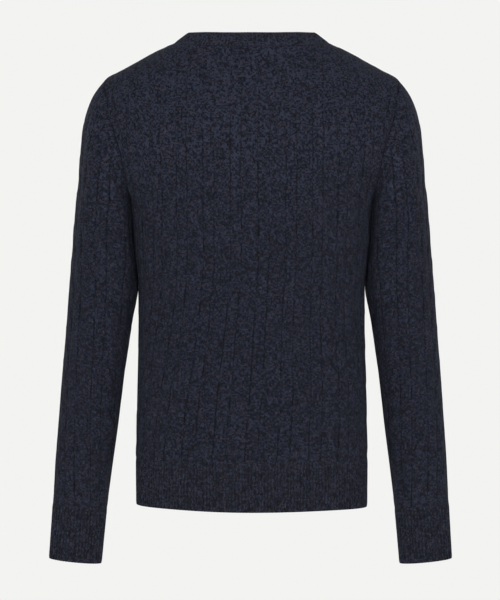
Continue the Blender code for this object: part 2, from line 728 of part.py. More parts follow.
def knit_piece(name, loop, features, surface, folds, turns, lining_across, material, mirror):
    """A piece of cabled cloth. features holds flat points, their depths and their links.

    turns are more flat points, where the form turns quickly."""
    points, sinks, links = features
    cloth = Cloth(mirror)
    outline = [(edge.s, edge.t) for edge in loop]
    kept = inside_outline(points, outline, KNOT_TO_EDGE)
    for i, point in enumerate(points):
        kept[i] = kept[i] and all(math.dist(point, turn) > KNOT_TO_TURN for turn in turns)
    number = {old: new for new, old in enumerate(i for i, keep in enumerate(kept) if keep)}
    inner_points = [points[i] for i in number]
    inner_sinks = [sinks[i] for i in number]
    inner_links = [(number[i], number[j]) for i, j in links if kept[i] and kept[j]]
    inner_links = links_inside(inner_points, inner_links, outline)
    creases = fold_points(folds) + turns
    clear = inside_outline(creases, outline, CREASE_TO_EDGE)
    creases = [point for point, keep in zip(creases, clear) if keep]
    for s, t in creases:
        if min(math.hypot(s - u, t - v) for u, v in inner_points) > CREASE_TO_KNOT:
            inner_points.append((s, t))
            inner_sinks.append(column_sink(s))
    outer = []
    for i, edge in enumerate(loop):
        sink = edge.sink + fold_sink(folds, edge.s, edge.t)
        outer.append(cloth.vertex(edge_point(loop, i, 0, sink)))
    for (s, t), sink in zip(inner_points, inner_sinks):
        position, normal = surface(s, t)
        outer.append(cloth.vertex(position - normal * (sink + fold_sink(folds, s, t))))
    for face in triangulate(outline, inner_points, inner_links):
        cloth.face([outer[i] for i in face])

    rim = [i for i, edge in enumerate(loop) if edge.on_inside]
    lining = lining_points([outline[i] for i in rim], creases, lining_across)
    folds = [wider_fold(fold) for fold in folds]
    inner = []
    for i in rim:
        sink = WALL_INSIDE + fold_sink(folds, loop[i].s, loop[i].t)
        inner.append(cloth.vertex(edge_point(loop, i, INNER_INSET, sink)))
    for s, t in lining:
        position, normal = surface(s, t)
        sink = WALL_INSIDE + fold_sink(folds, s, t)
        inner.append(cloth.vertex(position - normal * sink))
    for face in triangulate([outline[i] for i in rim], lining, []):
        cloth.face([inner[i] for i in reversed(face)])
    cloth.rim(outer[: len(loop)], inner[: len(rim)], rim)
    cloth.finish(name, material)


def wider_fold(fold):
    """The fold as the inside has it, so that the coarser inside stays clear of the outer side."""
    return fold._replace(
        length=fold.length * LINING_FOLD_GROWTH,
        depth=fold.depth * LINING_FOLD_GROWTH,
        half_width=fold.half_width * LINING_FOLD_WIDENING,
    )


def lining_points(outline, creases, across):
    """Flat points for the plain inside: an open grid, and the folds."""
    low, high = np.min(outline, axis=0), np.max(outline, axis=0)
    courses = steps_between(low[1], UNDERARM_Z, LINING_STEP)
    courses += steps_between(UNDERARM_Z, high[1], UPPER_LINING_STEP)[1:]
    grid = [(s, t) for s in steps_between(low[0], high[0], across) for t in courses]
    clear = inside_outline(grid, outline, LINING_TO_EDGE)
    points = list(creases)
    for point, keep in zip(grid, clear):
        if keep and all(math.dist(point, crease) > LINING_TO_CREASE for crease in creases):
            points.append((float(point[0]), float(point[1])))
    return points


def column_sink(s):
    """The depth below the crests, crossings left out."""
    away = abs((s / CABLE_PITCH) % 1 - 0.5) * CABLE_PITCH
    if away < CABLE_HALF_WIDTH:
        share = max(0.0, away / CABLE_HALF_WIDTH * 2 - 1)
        return STRAND_SINK + (FURROW_SINK - STRAND_SINK) * share
    rest = (away - CABLE_HALF_WIDTH) / (CABLE_PITCH / 2 - CABLE_HALF_WIDTH)
    return FURROW_SINK + (BETWEEN_SINK - FURROW_SINK) * rest


def wandered(wander, s, t):
    return s + wander.rate * (min(t, wander.top) - wander.foot)


def cable_features(half_span, low_t, high_t, wander):
    """The cables and the plain columns between them, over a span of wales and courses."""
    points, sinks, links = [], [], []

    def add(s, t, sink):
        points.append((wandered(wander, s, t), t))
        sinks.append(sink)
        return len(points) - 1

    def chain(row):
        links.extend(zip(row, row[1:]))

    def courses(start):
        row, t = [], start
        while t < high_t:
            row.append(t)
            t += CROSSING_PITCH if t < BEND_Z else CROSSING_PITCH / 2
        return row

    columns = math.ceil(half_span / CABLE_PITCH)
    repeats = math.ceil((high_t - low_t) / CROSSING_PITCH) + 1
    per = len(CROSSING)
    first = low_t + FIRST_CROSSING
    for column in range(-columns, columns):
        centre = (column + 0.5) * CABLE_PITCH
        knots = []
        for repeat in range(-1, repeats):
            base = first + repeat * CROSSING_PITCH
            for knot in CROSSING:
                s = centre + knot.across * CABLE_HALF_WIDTH
                knots.append(add(s, base + knot.along * CROSSING_PITCH, knot.sink))
        for repeat in range(repeats):
            strand = [repeat * per + k for k in STRAND_KNOTS] + [(repeat + 1) * per]
            chain([knots[k] for k in strand])
        for side in (-1, 1):
            s = centre + side * CABLE_HALF_WIDTH
            chain([add(s, t, FURROW_SINK) for t in courses(first)])
    for column in range(-columns, columns + 1):
        start = first + CROSSING_PITCH / 2
        chain([add(column * CABLE_PITCH, t, BETWEEN_SINK) for t in courses(start)])
    return points, sinks, links


def cable_edge(surface, half_span, t, wander):
    """The bottom edge of a cabled piece, left to right, with a point at each rise and furrow."""
    columns = math.ceil(half_span / CABLE_PITCH) + 1
    row = []
    for column in range(-columns, columns + 1):
        centre = (column + 0.5) * CABLE_PITCH
        row.append((column * CABLE_PITCH, BETWEEN_SINK))
        row.append((centre - CABLE_HALF_WIDTH, FURROW_SINK))
        row.append((centre, BETWEEN_SINK))
        row.append((centre + CABLE_HALF_WIDTH, FURROW_SINK))
    row = [(wandered(wander, s, t), sink) for s, sink in row]
    row = [(s, sink) for s, sink in row if abs(s) < half_span - KNOT_TO_EDGE]
    row = [(-half_span, SEAM_SINK)] + row + [(half_span, SEAM_SINK)]
    edges = []
    for i, (s, sink) in enumerate(row):
        position, normal = surface(s, t)
        edges.append(Edge(s, t, position, normal, sink, i % 2 == 0 or i == len(row) - 1))
    return edges


def rib_count(length):
    """How many half ribs fit a length, so that both ends and each lining point are furrows."""
    return RIBS_PER_SEAM_POINT * max(1, round(2 * length / RIB_PITCH / RIBS_PER_SEAM_POINT))


def rib_wall(name, lower, upper, material, closed, mirror=False):
    """A ribbed band between two rows of points and normals, left to right or all round."""
    cloth = Cloth(mirror)
    count = len(lower)
    rows = []
    for row in (lower, upper):
        sinks = [RIB_SINK if i % 2 == 0 else 0.0 for i in range(count)]
        inside = [i % RIBS_PER_SEAM_POINT == 0 for i in range(count)]
        mitre = BAND_MITRE if closed else 0.0
        rows.append([Edge(0, 0, *at, *cut, mitre) for at, *cut in zip(row, sinks, inside)])
    loops = [rows[0], rows[1][::-1]] if closed else [rows[0] + rows[1][::-1]]
    outer, inner = [], []
    for loop in loops:
        rim = [i for i, edge in enumerate(loop) if edge.on_inside]
        outside = [
            cloth.vertex(edge_point(loop, i, 0, edge.sink)) for i, edge in enumerate(loop)
        ]
        lining = [cloth.vertex(edge_point(loop, i, INNER_INSET, RIB_INSIDE)) for i in rim]
        cloth.rim(outside, lining, rim)
        outer += outside
        inner += lining
    for side in (outer, inner):
        half = len(side) // 2
        for i in range(half if closed else half - 1):
            a, b = side[i], side[(i + 1) % half]
            c, d = side[-2 - i if i < half - 1 else -1], side[-1 - i]
            cloth.face([a, b, c])
            cloth.face([a, c, d])
    cloth.finish(name, material)


def build_body(face, name, folds, wander, yarn, rib_yarn):
    surface = torso_surface(face)
    loop = torso_outline(face, cable_edge(surface, side_wale(face, WELT_TOP_Z), WELT_TOP_Z, wander))
    widest = max(abs(edge.s) for edge in loop)
    highest = max(edge.t for edge in loop)
    features = cable_features(widest, WELT_TOP_Z, highest, wander)
    knit_piece(name, loop, features, surface, folds, [], BODY_LINING_ACROSS, yarn, False)

    def row(z):
        reach = side_wale(face, z)
        return [surface(s, z) for s in np.linspace(-reach, reach, ribs + 1).tolist()]

    ribs = rib_count(2 * float(quarter_ring(face, HEM_Z)[2][-1]))
    rib_wall(f"welt_{name}", row(HEM_Z), row(WELT_TOP_Z), rib_yarn, closed=False)


def build_sleeve(side, folds, yarn, rib_yarn, mirror):
    low_t = sleeve_course(CUFF_TOP_Z)
    span = float(half_slice(1, CUFF_TOP_Z)[2][-1])
    loop = sleeve_outline(cable_edge(sleeve_surface, span, low_t, STRAIGHT))
    widest = max(abs(edge.s) for edge in loop)
    highest = max(edge.t for edge in loop)
    features = cable_features(widest, low_t, highest, STRAIGHT)
    form = sleeve_surface, folds, turn_points(), SLEEVE_LINING_ACROSS
    knit_piece(f"sleeve_{side}", loop, features, *form, yarn, mirror)

    def row(z):
        reach = float(half_slice(1, z)[2][-1])
        t = sleeve_course(z)
        return [sleeve_surface(s, t) for s in np.linspace(-reach, reach, ribs + 1).tolist()]

    ribs = rib_count(2 * float(half_slice(1, CUFF_END_Z)[2][-1]))
    rib_wall(f"cuff_{side}", row(CUFF_END_Z), row(CUFF_TOP_Z), rib_yarn, False, mirror)


def main():
    start_clean()
    yarn = knit_material("navy_cable_knit", YARN)
    rib_yarn = knit_material("navy_rib_knit", RIB_YARN)
    build_body(1, "back", BACK_FOLDS, BACK_WANDER, yarn, rib_yarn)
    build_body(-1, "front", FRONT_FOLDS, STRAIGHT, yarn, rib_yarn)
    build_sleeve("left", LEFT_SLEEVE_FOLDS, yarn, rib_yarn, mirror=False)
    build_sleeve("right", RIGHT_SLEEVE_FOLDS, yarn, rib_yarn, mirror=True)
    rib_wall("neckband", *neck_rows(), rib_yarn, closed=True)


main()
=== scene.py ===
import math
from collections import namedtuple
from functools import partialmethod

import bpy
import numpy as np
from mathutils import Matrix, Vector, kdtree


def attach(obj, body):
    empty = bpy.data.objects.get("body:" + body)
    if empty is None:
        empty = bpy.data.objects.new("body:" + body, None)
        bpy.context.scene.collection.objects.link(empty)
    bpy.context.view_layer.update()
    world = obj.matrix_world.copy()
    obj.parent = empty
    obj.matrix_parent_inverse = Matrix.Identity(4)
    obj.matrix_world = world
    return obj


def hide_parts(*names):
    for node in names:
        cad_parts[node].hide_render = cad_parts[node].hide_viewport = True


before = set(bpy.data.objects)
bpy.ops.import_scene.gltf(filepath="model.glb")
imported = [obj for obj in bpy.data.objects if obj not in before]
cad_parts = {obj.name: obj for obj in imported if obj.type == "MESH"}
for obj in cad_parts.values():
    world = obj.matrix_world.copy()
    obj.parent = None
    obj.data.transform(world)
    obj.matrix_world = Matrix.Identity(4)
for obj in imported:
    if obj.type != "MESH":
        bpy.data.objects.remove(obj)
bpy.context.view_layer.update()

# Metres, +Z up. The front faces -Y, the wearer's left is +X, and the origin is midway
# between the neck ends of the shoulder seams.

form = {
    "hemZ": -0.652,
    "weltTopZ": -0.587,
    "underarmZ": -0.230,
    "bladeZ": -0.106,
    "shoulderTipZ": -0.050,
    "cuffEndZ": -0.737,
    "cuffTopZ": -0.657,
    "neckHalfWidth": 0.110,
    "backNeckDrop": 0.011,
    "frontNeckDrop": 0.078,
    "backNeckPower": 3,
    "frontNeckPower": 2.3,
    "frontNeckRound": 1.7,
}

# Level rings of the torso: height, half width, depths at the back and the front, fullness (the
# power of the curve, 2 for an ellipse), and ease (how much wider the cloth lies there than flat)

torsoRings = [
    (-0.652, 0.1630, 0.0990, 0.0950, 2.35, 1.13),
    (-0.587, 0.1635, 0.0985, 0.0950, 2.35, 1.14),
    (-0.520, 0.1625, 0.0960, 0.0950, 2.35, 1.12),
    (-0.450, 0.1610, 0.0925, 0.0960, 2.35, 1.05),
    (-0.400, 0.1600, 0.0905, 0.0980, 2.35, 1.00),
    (-0.346, 0.1600, 0.0920, 0.1010, 2.35, 0.97),
    (-0.290, 0.1665, 0.0980, 0.1065, 2.35, 0.97),
    (-0.230, 0.1718, 0.1045, 0.1110, 2.30, 0.98),
    (-0.190, 0.1900, 0.1070, 0.1100, 2.12, 0.98),
    (-0.149, 0.2140, 0.1070, 0.1060, 1.95, 0.98),
    (-0.106, 0.2230, 0.1020, 0.0960, 1.82, 0.98),
    (-0.078, 0.2195, 0.0945, 0.0865, 1.74, 0.98),
    (-0.050, 0.2062, 0.0850, 0.0740, 1.70, 0.98),
    (-0.038, 0.1846, 0.0809, 0.0679, 1.72, 0.98),
    (-0.025, 0.1608, 0.0762, 0.0612, 1.74, 0.98),
    (-0.010, 0.1334, 0.0719, 0.0534, 1.77, 0.98),
    (0.000, 0.1100, 0.0690, 0.0480, 1.80, 0.98),
]

# Level slices of the left sleeve: height, its outer and inner edge, how far its deepest place
# lies from the inner one, its half depths, how far it and its inner side lie forward, the tilt of
# its rows, its inner side's fullness, and how much of the room up to the body that side fills

sleeveSlices = [
    (-0.737, 0.2865, 0.2125, 0.0370, 0.0250, 0.0250, 0.0300, 0.000, 0.100, 2.0, 0.00),
    (-0.657, 0.2815, 0.2050, 0.0380, 0.0280, 0.0280, 0.0240, 0.000, 0.100, 2.0, 0.00),
    (-0.600, 0.2785, 0.1980, 0.0400, 0.0340, 0.0335, 0.0190, 0.000, 0.100, 2.0, 0.00),
    (-0.540, 0.2740, 0.1900, 0.0420, 0.0390, 0.0380, 0.0140, 0.000, 0.100, 2.0, 0.00),
    (-0.480, 0.2695, 0.1830, 0.0432, 0.0430, 0.0420, 0.0090, 0.000, 0.090, 2.0, 0.00),
    (-0.420, 0.2645, 0.1750, 0.0452, 0.0470, 0.0450, 0.0050, 0.003, 0.070, 2.2, 0.00),
    (-0.385, 0.2618, 0.1694, 0.0462, 0.0487, 0.0467, 0.0035, 0.009, 0.055, 2.2, 0.00),
    (-0.360, 0.2600, 0.1646, 0.0480, 0.0500, 0.0480, 0.0020, 0.012, 0.040, 2.3, 0.00),
    (-0.345, 0.2588, 0.1622, 0.0488, 0.0510, 0.0488, 0.0015, 0.012, 0.030, 2.5, 0.10),
    (-0.300, 0.2550, 0.1664, 0.0470, 0.0540, 0.0510, 0.0000, 0.006, 0.010, 2.5, 1.00),
    (-0.260, 0.2520, 0.1700, 0.0443, 0.0560, 0.0530, 0.0000, 0.003, 0.000, 2.5, 1.00),
    (-0.243, 0.2508, 0.1712, 0.0427, 0.0567, 0.0538, 0.0000, 0.001, 0.000, 2.5, 1.00),
    (-0.230, 0.2495, 0.1722, 0.0400, 0.0570, 0.0540, 0.0000, 0.000, 0.000, 2.5, 1.00),
    (-0.225, 0.2490, 0.1727, 0.0387, 0.0565, 0.0536, 0.0000, 0.000, 0.000, 2.5, 0.98),
    (-0.220, 0.2484, 0.1733, 0.0375, 0.0543, 0.0513, 0.0000, 0.000, 0.000, 2.4, 0.95),
    (-0.210, 0.2473, 0.1745, 0.0356, 0.0490, 0.0457, 0.0000, 0.000, 0.000, 2.3, 0.86),
    (-0.200, 0.2462, 0.1760, 0.0340, 0.0437, 0.0405, 0.0000, 0.000, 0.000, 2.2, 0.73),
    (-0.190, 0.2453, 0.1775, 0.0320, 0.0391, 0.0360, 0.0000, 0.000, 0.000, 2.2, 0.60),
    (-0.149, 0.2425, 0.1860, 0.0190, 0.0196, 0.0190, 0.0000, 0.000, 0.000, 2.1, 0.10),
    (-0.128, 0.2405, 0.1930, 0.0120, 0.0140, 0.0130, 0.0000, 0.000, 0.000, 2.0, 0.00),
    (-0.106, 0.2365, 0.1995, 0.0060, 0.0100, 0.0100, 0.0000, 0.000, 0.000, 2.0, 0.00),
    (-0.078, 0.2268, 0.2040, 0.0010, 0.0070, 0.0070, 0.0000, 0.000, 0.000, 2.0, 0.00),
    (-0.062, 0.2165, 0.2066, 0.0005, 0.0040, 0.0040, 0.0000, 0.000, 0.000, 2.0, 0.00),
    (-0.050, 0.2063, 0.2062, 0.0001, 0.0002, 0.0002, 0.0000, 0.000, 0.000, 2.0, 0.00),
]

# How finely each curve is worked out

fineness = {
    "quarter": 193,
    "neckline": 1201,
    "outerLine": 800,
    "shoulder": 600,
    "wale": 64,
    "armhole": 60,
    "neckband": 12,
}


def smoothColumn(z, value):
    # A curve without overshoot through one column of a table, against its heights
    step = np.diff(z)
    rate = np.diff(value) / step
    slope = np.concatenate([rate[:1], np.zeros(len(z) - 2), rate[-1:]])
    for i in range(1, len(z) - 1):
        if rate[i - 1] * rate[i] > 0:
            before = 2 * step[i] + step[i - 1]
            after = step[i] + 2 * step[i - 1]
            slope[i] = (before + after) / (before / rate[i - 1] + after / rate[i])

    def at(height):
        height = np.clip(height, z[0], z[-1])
        i = np.clip(np.searchsorted(z, height, side="right") - 1, 0, len(step) - 1)
        u = (height - z[i]) / step[i]
        rest = (1 - u) ** 2
        start = value[i] * (1 + 2 * u) * rest + slope[i] * step[i] * u * rest
        return start + value[i + 1] * u * u * (3 - 2 * u) + slope[i + 1] * step[i] * u * u * (u - 1)

    return at


def smoothTable(names, rows):
    heights, *columns = np.array(rows).T
    return {name: smoothColumn(heights, value) for name, value in zip(names.split(), columns)}


torso = smoothTable("halfWidth back front fullness ease", torsoRings)
sleeve = smoothTable("outer inner lead back front forward tuck slope fullness hug", sleeveSlices)
quarterTurn = np.linspace(0, math.pi / 2, fineness["quarter"])


def lengthAlong(points):
    return np.concatenate([[0], np.cumsum(np.linalg.norm(np.diff(points, axis=0), axis=1))])


def spaced(low, high, step):
    return np.linspace(low, high, round((high - low) / step))


def unit(vectors):
    return vectors / np.maximum(np.linalg.norm(vectors, axis=-1, keepdims=True), 1e-12)


# The torso: side is 1 for the back and -1 for the front


def torsoDepth(side, z):
    return torso["back" if side > 0 else "front"](z)


def quarterRing(side, z):
    power = 2 / torso["fullness"](z)
    across = torso["halfWidth"](z) * np.sin(quarterTurn) ** power
    outwards = torsoDepth(side, z) * np.cos(quarterTurn).clip(0) ** power
    outwards[-1] = 0
    return across, outwards, lengthAlong(np.stack([across, outwards], 1))


def torsoOutwards(side, across, z):
    fullness = torso["fullness"](z)
    share = 1 - np.minimum(1.0, across / torso["halfWidth"](z)) ** fullness
    return torsoDepth(side, z) * share.clip(0) ** (1 / fullness)


def torsoAcross(y, z):
    fullness = torso["fullness"](z)
    depth = np.where(y > 0, torsoDepth(1, z), torsoDepth(-1, z))
    share = 1 - np.minimum(1.0, np.abs(y) / depth) ** fullness
    return torso["halfWidth"](z) * share.clip(0) ** (1 / fullness)


def torsoFacing(side, across, outwards, z):
    def field(height):
        fullness = torso["fullness"](height)
        wide = (across / torso["halfWidth"](height)) ** fullness
        return wide + (outwards / torsoDepth(side, height)) ** fullness

    n, step = torso["fullness"](z), 0.001
    top = np.minimum(z + step, 0.0)
    wide = n * across ** (n - 1) / torso["halfWidth"](z) ** n
    deep = n * outwards ** (n - 1) / torsoDepth(side, z) ** n
    rise = (field(top) - field(z - step)) / (top - z + step)
    return unit(np.stack([wide, deep, rise], -1))


def waleAt(side, across, z):
    level = min(z, form["bladeZ"])
    ringAcross, _, arc = quarterRing(side, level)
    return np.interp(across, ringAcross, arc) / torso["ease"](level)


def overShoulder(side, across):
    # For each distance from the centre plane, heights up its wale and the length up to each
    seamZ = np.linspace(form["shoulderTipZ"] - 0.02, 0.0, fineness["shoulder"])
    top = np.interp(across, torso["halfWidth"](seamZ)[::-1], seamZ[::-1])
    top = np.where(across > form["neckHalfWidth"], top, 0.0)
    share = np.linspace(0, 1, fineness["wale"])
    heights = form["bladeZ"] + (top - form["bladeZ"])[:, None] * (1 - (1 - share) ** 2)
    out = torsoOutwards(side, across[:, None], heights)
    step = np.hypot(np.diff(heights, axis=1), np.diff(out, axis=1))
    length = np.concatenate([np.zeros((len(across), 1)), np.cumsum(step, axis=1)], axis=1)
    return heights, form["bladeZ"] + length


def eachInterp(at, known, values):
    # Interpolation with a row of known places for each number
    i = np.clip((known <= at[:, None]).sum(1) - 1, 0, known.shape[1] - 2)[:, None]
    low, high = np.take_along_axis(known, i, 1), np.take_along_axis(known, i + 1, 1)
    start, end = np.take_along_axis(values, i, 1), np.take_along_axis(values, i + 1, 1)
    share = ((at[:, None] - low) / np.maximum(high - low, 1e-12)).clip(0, 1)
    return (start + (end - start) * share)[:, 0]


def necklineHeight(side, across):
    share = np.minimum(1.0, across / form["neckHalfWidth"])
    if side > 0:
        return -form["backNeckDrop"] * (1 - share ** form["backNeckPower"])
    rise = (1 - share ** form["frontNeckPower"]) ** (1 / form["frontNeckRound"])
    return -form["frontNeckDrop"] * rise


def necklineSides(side, spacing):
    # Signed distances from the centre plane, evenly spaced along the neckline
    sides = -form["neckHalfWidth"] * np.cos(np.linspace(0, math.pi, fineness["neckline"]))
    z = necklineHeight(side, np.abs(sides))
    length = lengthAlong(np.stack([sides, torsoOutwards(side, np.abs(sides), z), z], 1))
    count = spacing(length[-1])
    return np.interp(np.linspace(0, length[-1], count + 1), length, sides)


def torsoPoint(side, hand, across, outwards, z):
    facing = torsoFacing(side, across, outwards, z)
    turn = np.stack([-side * hand, np.full_like(hand, side), np.ones_like(hand)], -1)
    return turn * np.stack([across, outwards, z], -1), turn * facing


# The left sleeve: half is 1 for its back half and -1 for its front half


def halfSlice(half, z):
    deep = sleeve["back" if half > 0 else "front"](z)
    seam = 0.0
    if form["underarmZ"] < z < form["shoulderTipZ"]:
        seam = float(torsoOutwards(half, sleeve["inner"](z), z))
    middle = sleeve["inner"](z) + sleeve["lead"](z)
    reach = math.hypot(seam, deep)
    n = float(sleeve["fullness"](z))
    end = math.pi - math.asin(min(1.0, seam / reach) ** (n / 2))
    turn = np.linspace(0, end, fineness["quarter"])
    inner = sleeve["lead"](z) / (1 - (seam / reach) ** n) ** (1 / n)
    power = np.where(turn < math.pi / 2, 1.0, 2 / n)
    radius = np.where(turn < math.pi / 2, sleeve["outer"](z) - middle, -inner)
    across = middle + radius * np.abs(np.cos(turn)) ** power
    outwards = reach * np.sin(turn).clip(0) ** power
    return across, outwards, lengthAlong(np.stack([across, outwards], 1))


outerZ = np.linspace(form["cuffEndZ"], form["shoulderTipZ"], fineness["outerLine"])
outerLength = form["cuffEndZ"] + lengthAlong(np.stack([outerZ, sleeve["outer"](outerZ)], 1))

# How much further out the end of each sleeve hangs, from a height down

sleeveLean = {"left": 0.0034, "right": 0.0, "from": -0.40, "power": 1.2}


def sleeveRow(z, shares, lean):
    # One level row of the sleeve, from the front edge round the outer line to the back edge
    low = max(0.0, (sleeveLean["from"] - z) / (sleeveLean["from"] - form["cuffEndZ"]))
    shift = lean * low ** sleeveLean["power"]
    points, wales = [], []
    for half in (-1, 1):
        across, outwards, arc = halfSlice(half, z)
        reach = np.abs(shares[shares < 0] if half < 0 else shares[shares >= 0]) * arc[-1]
        x, y = np.interp(reach, arc, across), np.interp(reach, arc, outwards)
        beyond = x - sleeve["inner"](z) - sleeve["lead"](z)
        towards = (-beyond / sleeve["lead"](z)).clip(0) ** 2
        y = half * y - sleeve["forward"](z) - sleeve["tuck"](z) * towards
        room = (sleeve["inner"](z) - torsoAcross(y, z)).clip(0)
        rise = z + beyond * sleeve["slope"](z)
        x = x + shift - room * towards * sleeve["hug"](z)
        points.append(np.stack([x, y, rise], -1))
        wales.append(half * reach)
    return np.concatenate(points), np.concatenate(wales)


# Creases: where the middle lies on the flat piece (s, t), which way it runs (degrees up from s),
# its length, depth (below 0 for a ridge) and half width, and how much it bends

creases = {
    "back": [
        (0.160, -0.200, 70, 0.085, 0.0030, 0.0036, 0.003),
        (0.141, -0.184, 52, 0.080, 0.0020, 0.0075, 0.0),
        (0.121, -0.236, 82, 0.095, 0.0035, 0.0080, 0.0),
        (-0.163, -0.212, 108, 0.080, 0.0024, 0.0036, -0.003),
        (-0.150, -0.186, 128, 0.075, 0.0014, 0.0075, 0.0),
        (-0.126, -0.244, 96, 0.085, 0.0026, 0.0080, 0.0),
        (0.168, -0.395, 96, 0.110, 0.0022, 0.0090, 0.0),
        (0.158, -0.176, 60, 0.060, -0.0010, 0.0060, 0.002),
        (0.106, -0.214, 70, 0.070, -0.0008, 0.0070, -0.002),
        (-0.136, -0.206, 118, 0.060, -0.0007, 0.0070, 0.002),
        (-0.178, -0.420, 84, 0.120, 0.0012, 0.0080, 0.004),
        (0.020, -0.330, 88, 0.130, 0.0007, 0.0140, 0.005),
        (-0.070, -0.480, 94, 0.110, 0.0007, 0.0120, -0.004),
        (0.085, -0.520, 86, 0.100, 0.0008, 0.0110, 0.004),
        (-0.110, -0.100, 40, 0.080, 0.0006, 0.0110, 0.004),
        (0.118, -0.098, 142, 0.080, 0.0007, 0.0110, -0.004),
    ],
    "front": [
        (-0.146, -0.184, 126, 0.080, 0.0042, 0.0075, 0.0),
        (-0.124, -0.240, 97, 0.090, 0.0030, 0.0080, 0.0),
        (0.143, -0.186, 54, 0.080, 0.0040, 0.0075, 0.0),
        (0.125, -0.238, 84, 0.085, 0.0030, 0.0080, 0.0),
        (-0.108, -0.212, 110, 0.070, -0.0008, 0.0070, 0.002),
        (0.160, -0.178, 58, 0.060, -0.0009, 0.0060, -0.002),
        (0.060, -0.430, 92, 0.140, 0.0007, 0.0130, 0.005),
        (-0.080, -0.380, 86, 0.120, 0.0008, 0.0120, -0.004),
        (-0.020, -0.520, 95, 0.100, 0.0006, 0.0120, 0.003),
    ],
    "sleeve_left": [
        (0.100, -0.195, 114, 0.130, 0.0050, 0.0075, 0.0),
        (0.130, -0.285, 103, 0.140, 0.0030, 0.0080, 0.0),
        (-0.101, -0.200, 66, 0.120, 0.0045, 0.0070, 0.0),
        (0.088, -0.440, 62, 0.075, 0.0035, 0.0075, 0.0),
        (-0.086, -0.455, 118, 0.075, 0.0038, 0.0075, 0.0),
        (0.080, -0.625, 84, 0.055, 0.0025, 0.0065, 0.0),
        (0.096, -0.300, 74, 0.100, 0.0016, 0.0080, 0.004),
        (-0.094, -0.290, 104, 0.090, 0.0015, 0.0080, -0.003),
        (0.060, -0.520, 118, 0.070, 0.0010, 0.0080, 0.003),
        (-0.060, -0.540, 64, 0.070, 0.0010, 0.0080, -0.003),
        (0.030, -0.200, 80, 0.090, 0.0007, 0.0100, 0.004),
    ],
    "sleeve_right": [
        (0.103, -0.195, 114, 0.110, 0.0032, 0.0060, 0.0),
        (0.132, -0.285, 103, 0.130, 0.0020, 0.0070, 0.0),
        (-0.103, -0.198, 66, 0.120, 0.0045, 0.0070, 0.0),
        (0.090, -0.430, 66, 0.070, 0.0032, 0.0075, 0.0),
        (-0.084, -0.470, 120, 0.075, 0.0038, 0.0075, 0.0),
        (0.082, -0.628, 86, 0.060, 0.0036, 0.0065, 0.0),
        (0.098, -0.310, 78, 0.100, 0.0018, 0.0080, 0.003),
        (-0.092, -0.300, 102, 0.090, 0.0015, 0.0080, -0.004),
        (0.058, -0.545, 112, 0.070, 0.0011, 0.0080, -0.003),
        (-0.062, -0.530, 60, 0.075, 0.0010, 0.0080, 0.003),
        (0.034, -0.210, 84, 0.090, 0.0008, 0.0100, -0.004),
    ],
}


def creaseDepth(rows, s, t):
    total = np.zeros_like(s)
    for middleS, middleT, degrees, length, depth, halfWidth, bend in rows:
        angle = math.radians(degrees)
        ds, dt = s - middleS, t - middleT
        along = (ds * math.cos(angle) + dt * math.sin(angle)) / (length / 2)
        aside = dt * math.cos(angle) - ds * math.sin(angle) - bend * (1 - along**2)
        fade = (1 - along**2).clip(0) ** 2
        total += depth * fade * np.exp(-((aside / halfWidth) ** 2))
    return total


# Node trees, written as plain sums. The cloth changes within these distances of its edges, and
# the scales are those of its unevenness.

joinReach = 0.006
edgeReach = 0.0035
swayScale = 16.0
clothScale = 55.0
ribScale = 70.0


class Term:
    # A number that a node gives
    def __init__(self, tree, socket):
        self.tree, self.socket = tree, socket

    def by(self, operation, *others):
        node = self.tree.nodes.new("ShaderNodeMath")
        node.operation = operation
        for slot, value in zip(node.inputs, (self, *others)):
            plug(self.tree, value, slot)
        return Term(self.tree, node.outputs[0])

    __add__ = partialmethod(by, "ADD")
    __sub__ = partialmethod(by, "SUBTRACT")
    __mul__ = partialmethod(by, "MULTIPLY")
    __truediv__ = partialmethod(by, "DIVIDE")

    def __rsub__(self, other):
        return self * -1 + other

    def opposite(self):
        return self * -1 + 1

    def eased(self, low, high):
        # 0 below low, 1 above high and smooth between them
        node = self.tree.nodes.new("ShaderNodeMapRange")
        node.interpolation_type = "SMOOTHSTEP"
        for name, value in (("Value", self), ("From Min", low), ("From Max", high)):
            plug(self.tree, value, node.inputs[name])
        return Term(self.tree, node.outputs["Result"])


def plug(tree, value, slot):
    if isinstance(value, Term):
        tree.links.new(value.socket, slot)
    elif isinstance(value, bpy.types.NodeSocket):
        tree.links.new(value, slot)
    else:
        slot.default_value = value


def setInputs(node, values):
    for name, value in values.items():
        node.inputs[name].default_value = value


def blend(share, low, high):
    # low where share is 0 and high where it is 1
    node = makeNode(share.tree, "ShaderNodeMix")
    for slot, value in zip((0, 2, 3), (share, low, high)):
        plug(share.tree, value, node.inputs[slot])
    return Term(share.tree, node.outputs[0])


def makeNode(tree, kind, settings=(), **inputs):
    node = tree.nodes.new(kind)
    for name, value in dict(settings).items():
        setattr(node, name, value)
    for name, value in inputs.items():
        plug(tree, value, node.inputs[name.replace("_", " ")])
    return node


def formTree(name, numbers):
    # A tree on one mesh, with named numbers and a material
    tree = bpy.data.node_groups.new(name, "GeometryNodeTree")
    tree.interface.new_socket("Geometry", in_out="OUTPUT", socket_type="NodeSocketGeometry")
    kinds = {"Geometry": "Geometry", **dict.fromkeys(numbers, "Float"), "Material": "Material"}
    for key, kind in kinds.items():
        tree.interface.new_socket(key, in_out="INPUT", socket_type=f"NodeSocket{kind}")
    entry = tree.nodes.new("NodeGroupInput")
    return tree, entry, {number: Term(tree, entry.outputs[number]) for number in numbers}


